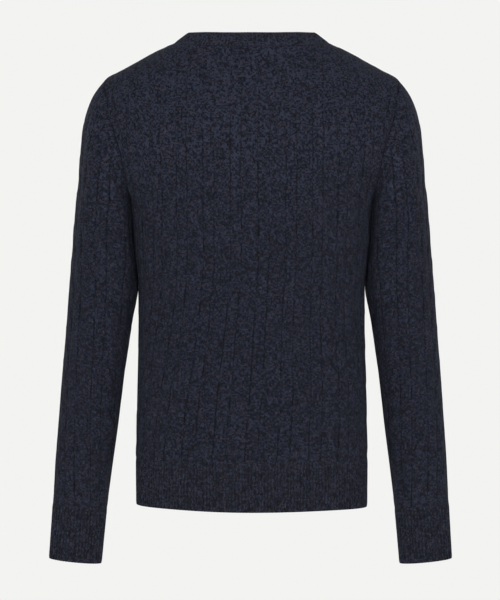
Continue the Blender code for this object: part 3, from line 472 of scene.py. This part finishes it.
def endTree(tree, entry, geometry):
    realize = makeNode(tree, "GeometryNodeRealizeInstances", Geometry=geometry)
    coat = makeNode(tree, "GeometryNodeSetMaterial", Geometry=realize.outputs[0])
    plug(tree, entry.outputs["Material"], coat.inputs["Material"])
    leave = tree.nodes.new("NodeGroupOutput")
    plug(tree, coat.outputs[0], leave.inputs[0])


def attribute(tree, name, kind="FLOAT"):
    node = makeNode(tree, "GeometryNodeInputNamedAttribute", {"data_type": kind}, Name=name)
    socket = node.outputs["Attribute"]
    return socket if kind == "FLOAT_VECTOR" else Term(tree, socket)


def sinkBy(tree, geometry, sink):
    # Moves each point in against the way its cloth faces
    facing = attribute(tree, "facing", "FLOAT_VECTOR")
    away = makeNode(tree, "ShaderNodeVectorMath", {"operation": "SCALE"}, Vector=facing)
    plug(tree, sink * -1, away.inputs["Scale"])
    moved = makeNode(tree, "GeometryNodeSetPosition", Geometry=geometry, Offset=away.outputs[0])
    return moved.outputs[0]


def keepWeave(tree, geometry, *parts):
    # Stores where each point lies in the knit, for the material
    place = tree.nodes.new("ShaderNodeCombineXYZ")
    for value, slot in zip(parts, place.inputs):
        plug(tree, value, slot)
    node = makeNode(
        tree, "GeometryNodeStoreNamedAttribute", {"data_type": "FLOAT_VECTOR"},
        Geometry=geometry, Name="weave", Value=place.outputs[0],
    )
    return node.outputs[0]


def unevenness(tree, scale, amount):
    noise = makeNode(tree, "ShaderNodeTexNoise", Scale=scale, Detail=2.0)
    return (Term(tree, noise.outputs[0]) - 0.5) * amount


def crown(place, power=2):
    # The section of a rounded strand: 1 in its middle and 0 at its edges
    for _ in range(power // 2):
        place = place * place
    return place.opposite().by("MAXIMUM", 0.0).by("SQRT")


Cells = namedtuple("Cells", "local turn overPlace underPlace columnPlace onUnder onColumn height")


def knitCells(cell, turns, n, power=2):
    # The cables: cell counts their columns across and turns their crossings upwards
    local = (cell.by("FRACT") - 0.5) * n["cablePitch"]
    u = local / n["halfWidth"]
    turn = turns.by("FRACT") * math.pi
    centre = turn.by("COSINE") * 0.5
    overPlace = (u - centre) / n["strandShare"]
    underPlace = (u + centre) / n["strandShare"]
    over = crown(overPlace, power)
    under = crown(underPlace, power) - turn.by("SINE") * n["dip"]
    half = n["cablePitch"] * 0.5
    columnPlace = (half - local.by("ABSOLUTE")) / (half - n["halfWidth"])
    column = crown(columnPlace, power) * (1 - n["columnSink"] / n["furrowSink"])
    rope = over.by("MAXIMUM", under)
    onUnder = under.by("GREATER_THAN", over)
    onColumn = column.by("GREATER_THAN", rope)
    height = rope.by("MAXIMUM", column).by("MAXIMUM", 0.0)
    return Cells(local, turn, overPlace, underPlace, columnPlace, onUnder, onColumn, height)


def cableTree():
    tree, entry, n = formTree("raiseCables", [*cableNumbers, "firstCrossing"])
    s, t = attribute(tree, "across"), attribute(tree, "along")
    s = s - n["wanderRate"] * (t.by("MINIMUM", n["wanderTop"]) - n["wanderFoot"])
    cell = s / n["cablePitch"] + unevenness(tree, swayScale, n["sway"])
    turns = (t - n["firstCrossing"]) / n["crossingPitch"]
    relief = t.eased(n["fadeLow"], n["fadeHigh"]) * n["fadeShare"]
    height = blend(relief, knitCells(cell, turns, n).height, n["plain"])
    sink = n["furrowSink"] * height.opposite() + unevenness(tree, clothScale, n["uneven"])
    sink = blend(attribute(tree, "seamNear").eased(0.0, joinReach), n["seamSink"], sink)
    sink = blend(attribute(tree, "footNear").eased(0.0, joinReach), n["footSink"], sink)
    sink = sink - n["bulk"]
    total = blend(attribute(tree, "layer"), sink, n["wallInside"]) + attribute(tree, "push")
    moved = sinkBy(tree, entry.outputs["Geometry"], total)
    endTree(tree, entry, keepWeave(tree, moved, cell, turns, relief))
    return tree


def ribTree():
    tree, entry, n = formTree("raiseRibs", ribNumbers)
    rib, t = attribute(tree, "rib"), attribute(tree, "along")
    place = rib.by("FRACT") * 2 - 1
    ridge = (place * place).opposite()
    sink = n["ribSink"] * ridge.opposite() + unevenness(tree, ribScale, n["uneven"])
    sink = blend(attribute(tree, "joinNear").eased(0.0, joinReach), n["joinSink"], sink)
    sink = sink - n["bulk"]
    edge = attribute(tree, "edgeNear").eased(0.0, edgeReach).opposite()
    inner = n["inside"] - n["insideSink"] * ridge.opposite()
    layer = attribute(tree, "layer")
    total = blend(layer, sink + n["roll"] * edge, inner - n["roll"] * edge)
    moved = sinkBy(tree, entry.outputs["Geometry"], total)
    endTree(tree, entry, keepWeave(tree, moved, rib, t / n["courseHeight"], ridge))
    return tree


sharpAngle = math.radians(80)


def applied(piece, tree, numbers, material):
    # Runs a tree on a piece and keeps the result as its plain mesh
    modifier = piece.modifiers.new(tree.name, "NODES")
    modifier.node_group = tree
    values = dict(numbers, Material=material)
    for item in tree.interface.items_tree:
        if item.in_out == "INPUT" and item.name in values:
            modifier[item.identifier] = values[item.name]
    bpy.context.view_layer.update()
    graph = bpy.context.evaluated_depsgraph_get()
    made = bpy.data.meshes.new_from_object(
        piece.evaluated_get(graph), preserve_all_data_layers=True, depsgraph=graph
    )
    piece.modifiers.remove(modifier)
    before = piece.data
    piece.data = made
    bpy.data.meshes.remove(before)
    made.name = piece.name
    made.set_sharp_from_angle(angle=sharpAngle)
    return piece


def addObject(name, data):
    made = bpy.data.objects.new(name, data)
    bpy.context.scene.collection.objects.link(made)
    return made


# Shells: a fine outer side, a coarser inside and the rim between them


def shell(name, points, values, step, closed=False, mirror=False):
    rows, columns = points.shape[:2]
    keptRows = sorted({*range(0, rows, step), rows - 1})
    keptColumns = list(range(0, columns, step))
    if not closed and keptColumns[-1] != columns - 1:
        keptColumns.append(columns - 1)
    kept = np.ix_(keptRows, keptColumns)
    outer = np.arange(rows * columns).reshape(rows, columns)
    inner = np.arange(len(keptRows) * len(keptColumns)).reshape(len(keptRows), -1) + outer.size
    faces = []
    for grid, turned in ((outer, False), (inner, True)):
        looped = np.concatenate([grid, grid[:, :1]], 1) if closed else grid
        quads = np.stack([looped[:-1, :-1], looped[:-1, 1:], looped[1:, 1:], looped[1:, :-1]], -1)
        quads = quads.reshape(-1, 4)
        faces += (quads[:, ::-1] if turned else quads).tolist()

    def rim(outerLoop, innerLoop):
        starts = np.flatnonzero(np.isin(outerLoop, outer[kept])).tolist()
        outerLoop, innerLoop, count = outerLoop.tolist(), innerLoop.tolist(), len(outerLoop)
        for place, start in enumerate(starts):
            following = (place + 1) % len(starts)
            span = (starts[following] - start) % count
            middle = (span + 1) // 2
            for k in range(span):
                corner = innerLoop[place if k < middle else following]
                faces.append([outerLoop[(start + k + 1) % count], outerLoop[start + k], corner])
            ends = [innerLoop[place], innerLoop[following]]
            faces.append([outerLoop[(start + middle) % count], *ends])

    def around(grid):
        return np.concatenate([grid[0, :-1], grid[:-1, -1], grid[-1, :0:-1], grid[:0:-1, 0]])

    if closed:
        rim(outer[0], inner[0])
        rim(outer[-1, ::-1], inner[-1, ::-1])
    else:
        rim(around(outer), around(inner))

    def both(grid):
        return np.concatenate([part.reshape(-1, *grid.shape[2:]) for part in (grid, grid[kept])])

    flip = np.array([-1.0 if mirror else 1.0, 1.0, 1.0])
    if mirror:
        faces = [face[::-1] for face in faces]
    mesh = bpy.data.meshes.new(name)
    mesh.from_pydata((both(points) * flip).tolist(), [], faces)
    values = {key: both(value) for key, value in values.items()}
    values["layer"] = np.repeat([0.0, 1.0], [outer.size, inner.size])
    for key, value in values.items():
        kind, field = "FLOAT", "value"
        if value.ndim == 2:
            value, kind, field = value * flip, "FLOAT_VECTOR", "vector"
        store = mesh.attributes.new(key, kind, "POINT")
        store.data.foreach_set(field, value.astype(np.float32).ravel())
    return addObject(name, mesh)


pieceGap = 0.0001


def tuckedEdges(points, bottom=True, top=True, sides=True):
    # Moves the edge points in by half the gap between two pieces
    def tuck(edge, within):
        return edge + unit(within - edge) * pieceGap / 2

    points = points.copy()
    if sides:
        points[:, 0] = tuck(points[:, 0], points[:, 1])
        points[:, -1] = tuck(points[:, -1], points[:, -2])
    if bottom:
        points[0] = tuck(points[0], points[1])
    if top:
        points[-1] = tuck(points[-1], points[-2])
    return points


def nearness(points, edges):
    tree = kdtree.KDTree(len(edges))
    for i, place in enumerate(edges):
        tree.insert(place, i)
    tree.balance()
    flat = points.reshape(-1, 3)
    return np.array([tree.find(place)[2] for place in flat]).reshape(points.shape[:2])


# Cables and ribs. The cables lean across the back only, between two heights.

cableNumbers = {
    "cablePitch": 0.039,
    "halfWidth": 0.0118,
    "crossingPitch": 0.048,
    "strandShare": 0.55,
    "dip": 0.62,
    "furrowSink": 0.0019,
    "columnSink": 0.0007,
    "seamSink": 0.0004,
    "footSink": 0.0005,
    "wallInside": 0.0033,
    "uneven": 0.0006,
    "sway": 0.14,
    "bulk": 0.0009,
    "fadeLow": -0.20,
    "fadeHigh": -0.03,
    "fadeShare": 0.7,
    "plain": 0.7,
    "wanderRate": 0.0,
    "wanderFoot": 0.0,
    "wanderTop": 0.0,
}
backWander = {"wanderRate": 0.066, "wanderFoot": -0.562, "wanderTop": -0.312}
crossingStart = 0.014
ribNumbers = {
    "ribSink": 0.0010,
    "joinSink": 0.0005,
    "inside": 0.0027,
    "insideSink": 0.0004,
    "roll": 0.0005,
    "uneven": 0.0004,
    "courseHeight": 0.0019,
    "bulk": 0.0009,
}

# Materials

stitches = {
    "perStrand": 5.0,
    "perColumn": 6.0,
    "perCable": 40.0,
    "underFrom": 4.0,
    "columnFrom": 30.0,
    "courseHeight": 0.0019,
    "legLean": 0.8,
    "arcLean": 0.4,
}
shades = {
    "furrow": (0.0002, 0.0014),
    "border": (0.0, 0.16),
    "borderShare": 0.5,
    "seam": (0.0005, 0.0024),
    "mark": (0.0005, 0.0022),
    "markShare": 0.8,
    "markPlace": 0.0125,
    "broken": (0.34, 0.62),
}
blends = {
    "chance": 0.46,
    "fine": 0.46,
    "broad": 0.10,
    "courses": 0.10,
    "wales": 0.18,
    "base": 0.15,
    "fineScale": 760.0,
    "broadScale": 60.0,
    "tintScale": 170.0,
}
flecks = {
    "colour": (0.075, 0.070, 0.066, 1.0),
    "scale": 260.0,
    "above": 0.985,
    "edge": (0.12, 0.40),
    "share": 0.5,
}
tints = ((0.34, (1.10, 0.95, 0.88)), (0.66, (0.90, 1.02, 1.10)))
coat = {
    "Roughness": 0.92,
    "Specular IOR Level": 0.10,
    "Sheen Weight": 0.02,
    "Sheen Roughness": 0.6,
    "Sheen Tint": (0.55, 0.65, 0.9, 1.0),
}
bumpDistance = 0.0006
yarns = {
    "cable": {
        "stops": (
            (0.25, (0.0048, 0.0053, 0.0086)),
            (0.43, (0.0094, 0.0105, 0.0175)),
            (0.58, (0.0146, 0.0164, 0.0275)),
            (0.78, (0.0285, 0.0320, 0.0530)),
        ),
        "line": 0.66,
        "hollowShade": 0.35,
        "bump": 0.60,
        "crispAndLit": 0.56,
        "lift": 0.34,
        "crispAndLitZ": (-0.30, -0.08),
    },
    "rib": {
        "stops": (
            (0.25, (0.0048, 0.0050, 0.0080)),
            (0.43, (0.0098, 0.0106, 0.0172)),
            (0.58, (0.0155, 0.0170, 0.0275)),
            (0.78, (0.0310, 0.0340, 0.0540)),
        ),
        "line": 0.34,
        "hollowShade": 0.30,
        "bump": 0.50,
        "crispAndLit": 0.86,
        "lift": 0.29,
        "crispAndLitZ": (-0.50, -0.02),
    },
}


def cableStitches(cell, turns, relief):
    # The wale and course at a place of the cabled cloth, and how much painted shade darkens its
    # furrows and the edges of the strand on top at each crossing
    at = knitCells(cell, turns, cableNumbers, 4)
    strand = blend(at.onUnder, at.overPlace, at.underPlace + stitches["underFrom"])
    strand = strand * stitches["perStrand"] * 0.5
    column = at.columnPlace * at.local.by("SIGN") * stitches["perColumn"] * -0.5
    column = column + stitches["columnFrom"]
    wale = blend(at.onColumn, strand, column) + cell.by("FLOOR") * stitches["perCable"]
    course = turns * (cableNumbers["crossingPitch"] / stitches["courseHeight"])
    aside = (at.local.by("ABSOLUTE") - cableNumbers["halfWidth"]).by("ABSOLUTE")
    # Painted shade: a dark line along each furrow beside the cables
    furrow = aside.eased(*shades["furrow"]).opposite()
    # Painted shade along the edges of the strand on top, strongest where it crosses over
    rim = (at.overPlace.by("ABSOLUTE") - 1).by("ABSOLUTE").eased(*shades["border"]).opposite()
    border = rim * at.turn.by("SINE") * shades["borderShare"]
    return wale, course, furrow.by("MAXIMUM", border) * relief.opposite()


def mixed(tree, how, share, first, second):
    node = makeNode(tree, "ShaderNodeMix", {"data_type": "RGBA", "blend_type": how})
    for slot, value in zip((0, 6, 7), (share, first, second)):
        plug(tree, value, node.inputs[slot])
    return node.outputs[2]


def setStops(ramp, places):
    stops = ramp.color_ramp.elements
    while len(stops) < len(places):
        stops.new(0.5)
    for stop, (at, colour) in zip(stops, places):
        stop.position, stop.color = at, (*colour, 1.0)


def newMaterial(name):
    material = bpy.data.materials.new(name)
    material.use_nodes = True
    return material, material.node_tree.nodes["Principled BSDF"]


def knitMaterial(name, look, cabled):
    material, shader = newMaterial(name)
    tree = material.node_tree

    def stored(key, output="Fac"):
        return makeNode(tree, "ShaderNodeAttribute", {"attribute_name": key}).outputs[output]

    parts = makeNode(tree, "ShaderNodeSeparateXYZ", Vector=stored("weave", "Vector"))
    across, upwards, third = (Term(tree, parts.outputs[k]) for k in range(3))
    inside = Term(tree, stored("layer"))
    if cabled:
        wale, course, line = cableStitches(across, upwards, third)
    else:
        # On ribs the line is painted shade in the furrows between the ribs
        wale, course, line = across * 2, upwards, third.eased(0.0, 0.8).opposite()
    # Painted shade: a dark line along each seam, where the seam groove lies
    seam = Term(tree, stored("seamNear")).eased(*shades["seam"]).opposite()
    away = (Term(tree, stored("armNear")) - shades["markPlace"]).by("ABSOLUTE")
    mark = away.eased(*shades["mark"]).opposite() * shades["markShare"]
    line = line.by("MAXIMUM", seam).by("MAXIMUM", mark) * inside.opposite()

    # A stitch is two legs that lean out upwards, and on the inside a row of small arcs
    leg = ((wale.by("FRACT") - 0.5) * 2).by("ABSOLUTE")
    leaning = course - leg * stitches["legLean"]
    legCrown = (leg * math.pi).by("SINE")
    loopCrown = (leaning.by("FRACT") * math.pi).by("SINE")
    face = (legCrown * loopCrown).by("MAXIMUM", 0.0).by("SQRT")
    arcs = ((course + leg * stitches["arcLean"]) * math.pi).by("SINE").by("ABSOLUTE")
    relief = blend(inside, face, arcs)

    place = tree.nodes.new("ShaderNodeTexCoord").outputs["Object"]

    def noise(scale, vector=place, detail=2.0):
        node = makeNode(tree, "ShaderNodeTexNoise", Vector=vector, Scale=scale, Detail=detail)
        return Term(tree, node.outputs[0])

    def spot(x, y, z):
        return makeNode(tree, "ShaderNodeCombineXYZ", X=x, Y=y, Z=z).outputs[0]

    chosen = spot(wale.by("FLOOR"), leaning.by("FLOOR"), inside * 7)
    chance = Term(tree, makeNode(tree, "ShaderNodeTexWhiteNoise", Vector=chosen).outputs["Value"])
    fine = noise(blends["fineScale"], detail=0.0)
    broad = noise(blends["broadScale"], detail=3.0)
    # Higher up the grain has more contrast and is lighter: painted light on the upper parts of the
    # pieces
    height = Term(tree, makeNode(tree, "ShaderNodeSeparateXYZ", Vector=place).outputs["Z"])
    crispAndLit = height.eased(*look["crispAndLitZ"]) * look["crispAndLit"] + 1
    # The yarn's tone runs along its course, and pulled wales show as streaks upwards
    courses = noise(1.0, spot(wale * 0.10, course * 0.85, inside))
    wales = noise(1.0, spot(wale * 0.90, course * 0.07, inside))
    grain = chance * blends["chance"] + fine * blends["fine"] - look["lift"]
    grain = grain * crispAndLit + look["lift"]
    mix = grain + broad * blends["broad"] + courses * blends["courses"]
    mix = mix + wales * blends["wales"] - blends["base"]
    ramp = makeNode(tree, "ShaderNodeValToRGB", Fac=mix)
    setStops(ramp, look["stops"])

    # Here and there a fleck of another colour
    sparse = makeNode(
        tree, "ShaderNodeTexVoronoi", Vector=place, Scale=flecks["scale"], Randomness=1.0
    )
    picked = makeNode(tree, "ShaderNodeSeparateColor", Color=sparse.outputs["Color"])
    rare = Term(tree, picked.outputs[0]).by("GREATER_THAN", flecks["above"])
    near = Term(tree, sparse.outputs["Distance"]).eased(*flecks["edge"]).opposite()
    share = rare * near * flecks["share"]
    flecked = mixed(tree, "MIX", share, ramp.outputs["Color"], flecks["colour"])

    # Painted shade: the colour darkens along the furrow, strand border, rib and seam lines, broken
    # up by noise; the mark beside each armhole darkens it too
    broken = line * broad.eased(*shades["broken"]) * look["line"]
    # Painted shade in the hollows between the stitch legs and loops, where the stitch relief is low
    shade = broken.opposite() * (relief * look["hollowShade"] + (1 - look["hollowShade"]))
    tint = makeNode(tree, "ShaderNodeValToRGB", Fac=noise(blends["tintScale"]))
    setStops(tint, tints)
    toned = mixed(tree, "MULTIPLY", 1.0, flecked, tint.outputs["Color"])
    dimmed = mixed(tree, "MULTIPLY", shade.opposite(), toned, (0.0, 0.0, 0.0, 1.0))
    plug(tree, dimmed, shader.inputs["Base Color"])

    bump = makeNode(tree, "ShaderNodeBump", Strength=look["bump"], Distance=bumpDistance)
    plug(tree, relief + fine * 0.5 - line * 1.5, bump.inputs["Height"])
    plug(tree, bump.outputs[0], shader.inputs["Normal"])
    setInputs(shader, coat)
    return material


cableYarn = knitMaterial("navy_cable_yarn", yarns["cable"], cabled=True)
ribYarn = knitMaterial("navy_rib_yarn", yarns["rib"], cabled=False)
raiseCables = cableTree()
raiseRibs = ribTree()
print("stage: forms, node trees and materials are ready")

# Front and back

bodySettings = {
    "rowStep": 0.0020,
    "columnStep": 0.0019,
    "insideStep": 6,
    "marked": (-0.128, -0.066),
    "shoulderRise": 0.03,
}


def bodyGrid(side):
    bladeZ, tipZ = form["bladeZ"], form["shoulderTipZ"]
    tipWale = float(waleAt(side, sleeve["inner"](tipZ), bladeZ))
    neck = necklineSides(side, lambda length: round(length / bodySettings["columnStep"]))
    neckWales = np.sign(neck) * waleAt(side, np.abs(neck), bladeZ)
    shoulder = spaced(neckWales[-1], tipWale, bodySettings["columnStep"])[1:]
    wales = np.concatenate([-shoulder[::-1], neckWales, shoulder]) / tipWale
    points, facings, s, t = [], [], [], []

    def keep(rowWales, across, outwards, z, course):
        place, facing = torsoPoint(side, np.sign(rowWales), across, outwards, z)
        for store, row in ((points, place), (facings, facing), (s, rowWales), (t, course)):
            store.append(row)

    for z in spaced(form["weltTopZ"], bladeZ, bodySettings["rowStep"]):
        across, outwards, arc = quarterRing(side, z)
        edge = arc[-1] / torso["ease"](z)
        if z > form["underarmZ"]:
            edge = waleAt(side, sleeve["inner"](z), z)
        row = wales * edge
        reach = np.abs(row) * torso["ease"](z)
        level = np.full_like(row, z)
        x, y = np.interp(reach, arc, across), np.interp(reach, arc, outwards)
        keep(row, x, y, level, level)

    armZ = np.linspace(bladeZ, tipZ, fineness["armhole"])
    armAcross = sleeve["inner"](armZ)
    armWale = waleAt(side, armAcross, bladeZ)
    armHeights, armLengths = overShoulder(side, armAcross)
    armCourse = eachInterp(armZ, armHeights, armLengths)
    ringAcross, _, arc = quarterRing(side, bladeZ)

    def acrossOf(row):
        return np.interp(np.abs(row) * torso["ease"](bladeZ), arc, ringAcross)

    topAcross = acrossOf(wales * tipWale)
    heights, lengths = overShoulder(side, topAcross)
    topZ = np.where(
        topAcross < form["neckHalfWidth"] - 1e-6, necklineHeight(side, topAcross), heights[:, -1]
    )
    topCourse = eachInterp(topZ, heights, lengths)
    rows = round((armCourse[-1] - bladeZ + bodySettings["shoulderRise"]) / bodySettings["rowStep"])
    for share in np.linspace(0, 1, rows)[1:]:
        edgeCourse = bladeZ + share * (armCourse[-1] - bladeZ)
        row = wales * np.interp(edgeCourse, armCourse, armWale)
        course = bladeZ + share * (topCourse - bladeZ)
        across = acrossOf(row)
        heights, lengths = overShoulder(side, across)
        z = eachInterp(course, lengths, heights)
        keep(row, across, torsoOutwards(side, across, z), z, course)
    return tuple(np.array(part) for part in (points, facings, s, t))


def seamsOf(points):
    return np.concatenate([points[:, 0], points[:, -1], points[-1]])


def buildCabled(name, grid, armNear, insideStep, wander, mirror=False):
    points, facings, s, t = grid
    foot = float(t[0, 0])
    values = {
        "across": s,
        "along": t,
        "facing": facings,
        "push": creaseDepth(creases[name], s, t),
        "seamNear": nearness(points, seamsOf(points)),
        "armNear": armNear,
        "footNear": t - foot,
    }
    piece = shell(f"{name}_knit", tuckedEdges(points), values, insideStep, mirror=mirror)
    numbers = {**cableNumbers, "firstCrossing": foot + crossingStart, **wander}
    return applied(piece, raiseCables, numbers, cableYarn)


def buildBody(name, side, wander):
    grid = bodyGrid(side)
    points = grid[0]
    seams = seamsOf(points)
    armholes = seams[seams[:, 2] > form["underarmZ"]]
    armholes = armholes[np.abs(armholes[:, 0]) > form["neckHalfWidth"]]
    # A line beside each armhole shows between two heights
    low, high = bodySettings["marked"]
    unmarked = (np.abs(points[..., 2] - (low + high) / 2) - (high - low) / 2).clip(0)
    armNear = nearness(points, armholes) + unmarked
    return buildCabled(name, grid, armNear, bodySettings["insideStep"], wander)


backKnit = buildBody("back", 1, backWander)
frontKnit = buildBody("front", -1, {})
print("stage: front and back,", len(backKnit.data.polygons), len(frontKnit.data.polygons))

# Sleeves

sleeveSettings = {"rowStep": 0.0020, "columns": 84, "insideStep": 6, "tip": 0.0006}


def facingOf(points, closed=False):
    if closed:
        around = np.roll(points, -1, 1) - np.roll(points, 1, 1)
    else:
        around = np.gradient(points, axis=1)
    return unit(np.cross(around, np.gradient(points, axis=0)))


def sleeveGrid(lean):
    shares = np.linspace(-1, 1, 2 * sleeveSettings["columns"] + 1)
    top = np.interp(form["shoulderTipZ"] - sleeveSettings["tip"], outerZ, outerLength)
    low = np.interp(form["cuffTopZ"], outerZ, outerLength)
    courses = spaced(low, top, sleeveSettings["rowStep"])
    heights = np.interp(courses, outerLength, outerZ)
    points, s = map(np.array, zip(*(sleeveRow(float(z), shares, lean) for z in heights)))
    return points, facingOf(points), s, np.repeat(courses[:, None], len(shares), 1)


def buildSleeve(name, mirror):
    grid = sleeveGrid(sleeveLean["right" if mirror else "left"])
    armNear = np.ones_like(grid[2])
    return buildCabled(name, grid, armNear, sleeveSettings["insideStep"], {}, mirror)


sleeveLeftKnit = buildSleeve("sleeve_left", False)
sleeveRightKnit = buildSleeve("sleeve_right", True)
print("stage: sleeves,", len(sleeveLeftKnit.data.polygons))

# Ribbed welts, cuffs and neckband

ribSettings = {
    "pitch": 0.0045,
    "perSeamPoint": 4,
    "samples": 4,
    "rowStep": 0.0034,
    "insideStep": 4,
    "bandWidth": 0.0255,
    "bandSpan": 3,
    "bandBendCentre": math.radians(20),
    "bandBendSide": math.radians(-13.5),
}


def halfRibs(length):
    per = ribSettings["perSeamPoint"]
    return per * max(1, round(2 * length / ribSettings["pitch"] / per))


def bandGrid(length, low, high):
    # How far round each column lies, and how high each row
    shares = np.linspace(-1, 1, halfRibs(length) * ribSettings["samples"] + 1)
    return shares, spaced(low, high, ribSettings["rowStep"])


def buildBand(name, points, closed=False, mirror=False, joinOnTop=True):
    facings = facingOf(points, closed)
    rows, columns = points.shape[:2]
    ribs = np.arange(columns) / (2 * ribSettings["samples"])
    rise = np.linalg.norm(np.diff(points, axis=0), axis=2)
    up = np.concatenate([np.zeros((1, columns)), np.cumsum(rise, axis=0)])
    down = up[-1] - up
    values = {
        "rib": np.repeat(ribs[None], rows, 0),
        "along": up,
        "facing": facings,
        "joinNear": down if joinOnTop else up,
        "edgeNear": up if joinOnTop else down,
        "seamNear": np.ones_like(up),
        "armNear": np.ones_like(up),
    }
    points = tuckedEdges(points, joinOnTop, not joinOnTop, not closed)
    piece = shell(name, points, values, 1 if closed else ribSettings["insideStep"], closed, mirror)
    return applied(piece, raiseRibs, ribNumbers, ribYarn)


# The hem hangs lower in its middle, and at the wearer's right side seam

hemDroop = {"middle": 0.0040, "right": 0.0034, "halfWidth": 0.163, "power": 2.2}


def droopAt(x):
    share = (x / hemDroop["halfWidth"]).clip(-1, 1)
    middle = hemDroop["middle"] * (1 - share * share) ** hemDroop["power"]
    return middle + hemDroop["right"] * (-share).clip(0) ** 2


def buildWelt(name, side):
    length = 2 * float(quarterRing(side, form["hemZ"])[2][-1])
    shares, heights = bandGrid(length, form["hemZ"], form["weltTopZ"])
    rows = []
    for z in heights:
        across, outwards, arc = quarterRing(side, z)
        reach = np.abs(shares) * arc[-1]
        x, y = np.interp(reach, arc, across), np.interp(reach, arc, outwards)
        row = torsoPoint(side, np.sign(shares), x, y, np.full_like(x, z))[0]
        low = (form["weltTopZ"] - z) / (form["weltTopZ"] - form["hemZ"])
        row[:, 2] -= low * droopAt(row[:, 0])
        rows.append(row)
    return buildBand(name, np.array(rows))


def buildCuff(name, mirror):
    length = 2 * float(halfSlice(1, form["cuffEndZ"])[2][-1])
    shares, heights = bandGrid(length, form["cuffEndZ"], form["cuffTopZ"])
    lean = sleeveLean["right" if mirror else "left"]
    rows = [sleeveRow(float(z), shares, lean)[0] for z in heights]
    return buildBand(name, np.array(rows), mirror=mirror)


def buildNeckband():
    samples = ribSettings["samples"]
    base, facings, near = [], [], []
    for side in (1, -1):
        sides = necklineSides(side, lambda length: halfRibs(length) * samples)[:-1]
        across = np.abs(sides)
        z = necklineHeight(side, across)
        place, facing = torsoPoint(side, np.sign(sides), across, torsoOutwards(side, across, z), z)
        base.append(place)
        facings.append(facing)
        near.append(np.minimum(1.0, across / form["neckHalfWidth"]) ** 2)
    base, facing, near = (np.concatenate(part) for part in (base, facings, near))
    span = ribSettings["bandSpan"] * samples
    along = np.roll(base, -span, 0) - np.roll(base, span, 0)
    upwards = unit(np.cross(facing, along))
    centre = ribSettings["bandBendCentre"]
    bend = (centre + (ribSettings["bandBendSide"] - centre) * near)[:, None]
    slant = upwards * np.cos(bend) - facing * np.sin(bend)
    width = ribSettings["bandWidth"]
    rows = [base + slant * width * share for share in np.linspace(0, 1, fineness["neckband"])]
    return buildBand("neckband_knit", np.array(rows), closed=True, joinOnTop=False)


weltBackKnit = buildWelt("welt_back_knit", 1)
weltFrontKnit = buildWelt("welt_front_knit", -1)
cuffLeftKnit = buildCuff("cuff_left_knit", False)
cuffRightKnit = buildCuff("cuff_right_knit", True)
neckbandKnit = buildNeckband()
print("stage: welts, cuffs and neckband,", len(neckbandKnit.data.polygons))

# Stage, light and camera

stageSettings = {
    "floorZ": -1.45,
    "floorHalf": 4.0,
    "ambient": 0.20,
    "lampSize": 1.6,
    "lens": 126.76,
    "sensorWidth": 36.0,
    "cameraPlace": (0.0024, 3.0, -0.3635),
    "cameraTurn": (math.pi / 2, 0.0, math.pi),
}
backdrop = (0.896, 0.896, 0.879, 1.0)
floorLook = {
    "Base Color": backdrop,
    "Roughness": 0.9,
    "Emission Color": backdrop,
    "Emission Strength": 0.30,
}

# Lamps: name, place, power

lamps = []
for face, side in (("Back", 1), ("Front", -1)):
    lamps.append((f"softbox{face}", (0.0, side * 3.3, 0.4), 66.0))
    for hand, x in (("Left", 2.5), ("Right", -2.5)):
        lamps.append((f"softbox{face}{hand}", (x, side * 2.4, 1.0), 36.0))
lamps.append(("softboxTop", (0.0, 0.0, 2.4), 4.0))
aim = Vector((0.0, 0.0, -0.36))


def buildStage():
    half = stageSettings["floorHalf"]
    z = stageSettings["floorZ"]
    mesh = bpy.data.meshes.new("floor")
    corners = [(-half, -half, z), (half, -half, z), (half, half, z), (-half, half, z)]
    mesh.from_pydata(corners, [], [(0, 1, 2, 3)])
    floor = addObject("floor", mesh)
    material, shader = newMaterial("pale_floor")
    setInputs(shader, floorLook)
    mesh.materials.append(material)


def buildLight():
    world = bpy.data.worlds.new("studio")
    world.use_nodes = True
    tree = world.node_tree
    sky = tree.nodes["Background"]
    sky.inputs["Color"].default_value = backdrop
    seen = Term(tree, makeNode(tree, "ShaderNodeLightPath").outputs["Is Camera Ray"])
    plug(tree, blend(seen, stageSettings["ambient"], 1.0), sky.inputs["Strength"])
    bpy.context.scene.world = world
    for name, place, power in lamps:
        data = bpy.data.lights.new(name, "AREA")
        data.shape, data.size, data.energy = "DISK", stageSettings["lampSize"], power
        light = addObject(name, data)
        light.location = place
        away = Vector(place) - aim
        light.rotation_euler = away.to_track_quat("Z", "Y").to_euler()


def buildCamera():
    data = bpy.data.cameras.new("camera")
    data.lens, data.sensor_width = stageSettings["lens"], stageSettings["sensorWidth"]
    camera = addObject("camera", data)
    camera.location = stageSettings["cameraPlace"]
    camera.rotation_euler = stageSettings["cameraTurn"]
    bpy.context.scene.camera = camera


buildStage()
buildLight()
buildCamera()
bpy.context.scene.view_settings.view_transform = "Standard"
print("stage: floor, light and camera")

# Which CAD node each piece stands for, its material slot, and the cut of what it shows:
# width, length and area as it lies flat

Piece = namedtuple("Piece", "object node slot width length area")
pieces = [
    Piece(backKnit, "back", "cable_knit", 0.462, 0.629, 0.2471),
    Piece(frontKnit, "front", "cable_knit", 0.471, 0.621, 0.2352),
    Piece(sleeveLeftKnit, "sleeve_left", "cable_knit", 0.315, 0.617, 0.1479),
    Piece(sleeveRightKnit, "sleeve_right", "cable_knit", 0.315, 0.617, 0.1479),
    Piece(neckbandKnit, "neckband", "rib_knit", 0.607, 0.0255, 0.0154),
    Piece(weltBackKnit, "welt_back", "rib_knit", 0.430, 0.069, 0.0290),
    Piece(weltFrontKnit, "welt_front", "rib_knit", 0.424, 0.069, 0.0287),
    Piece(cuffLeftKnit, "cuff_left", "rib_knit", 0.203, 0.081, 0.0163),
    Piece(cuffRightKnit, "cuff_right", "rib_knit", 0.203, 0.081, 0.0163),
]
for piece in pieces:
    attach(piece.object, "root")
    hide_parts(piece.node)
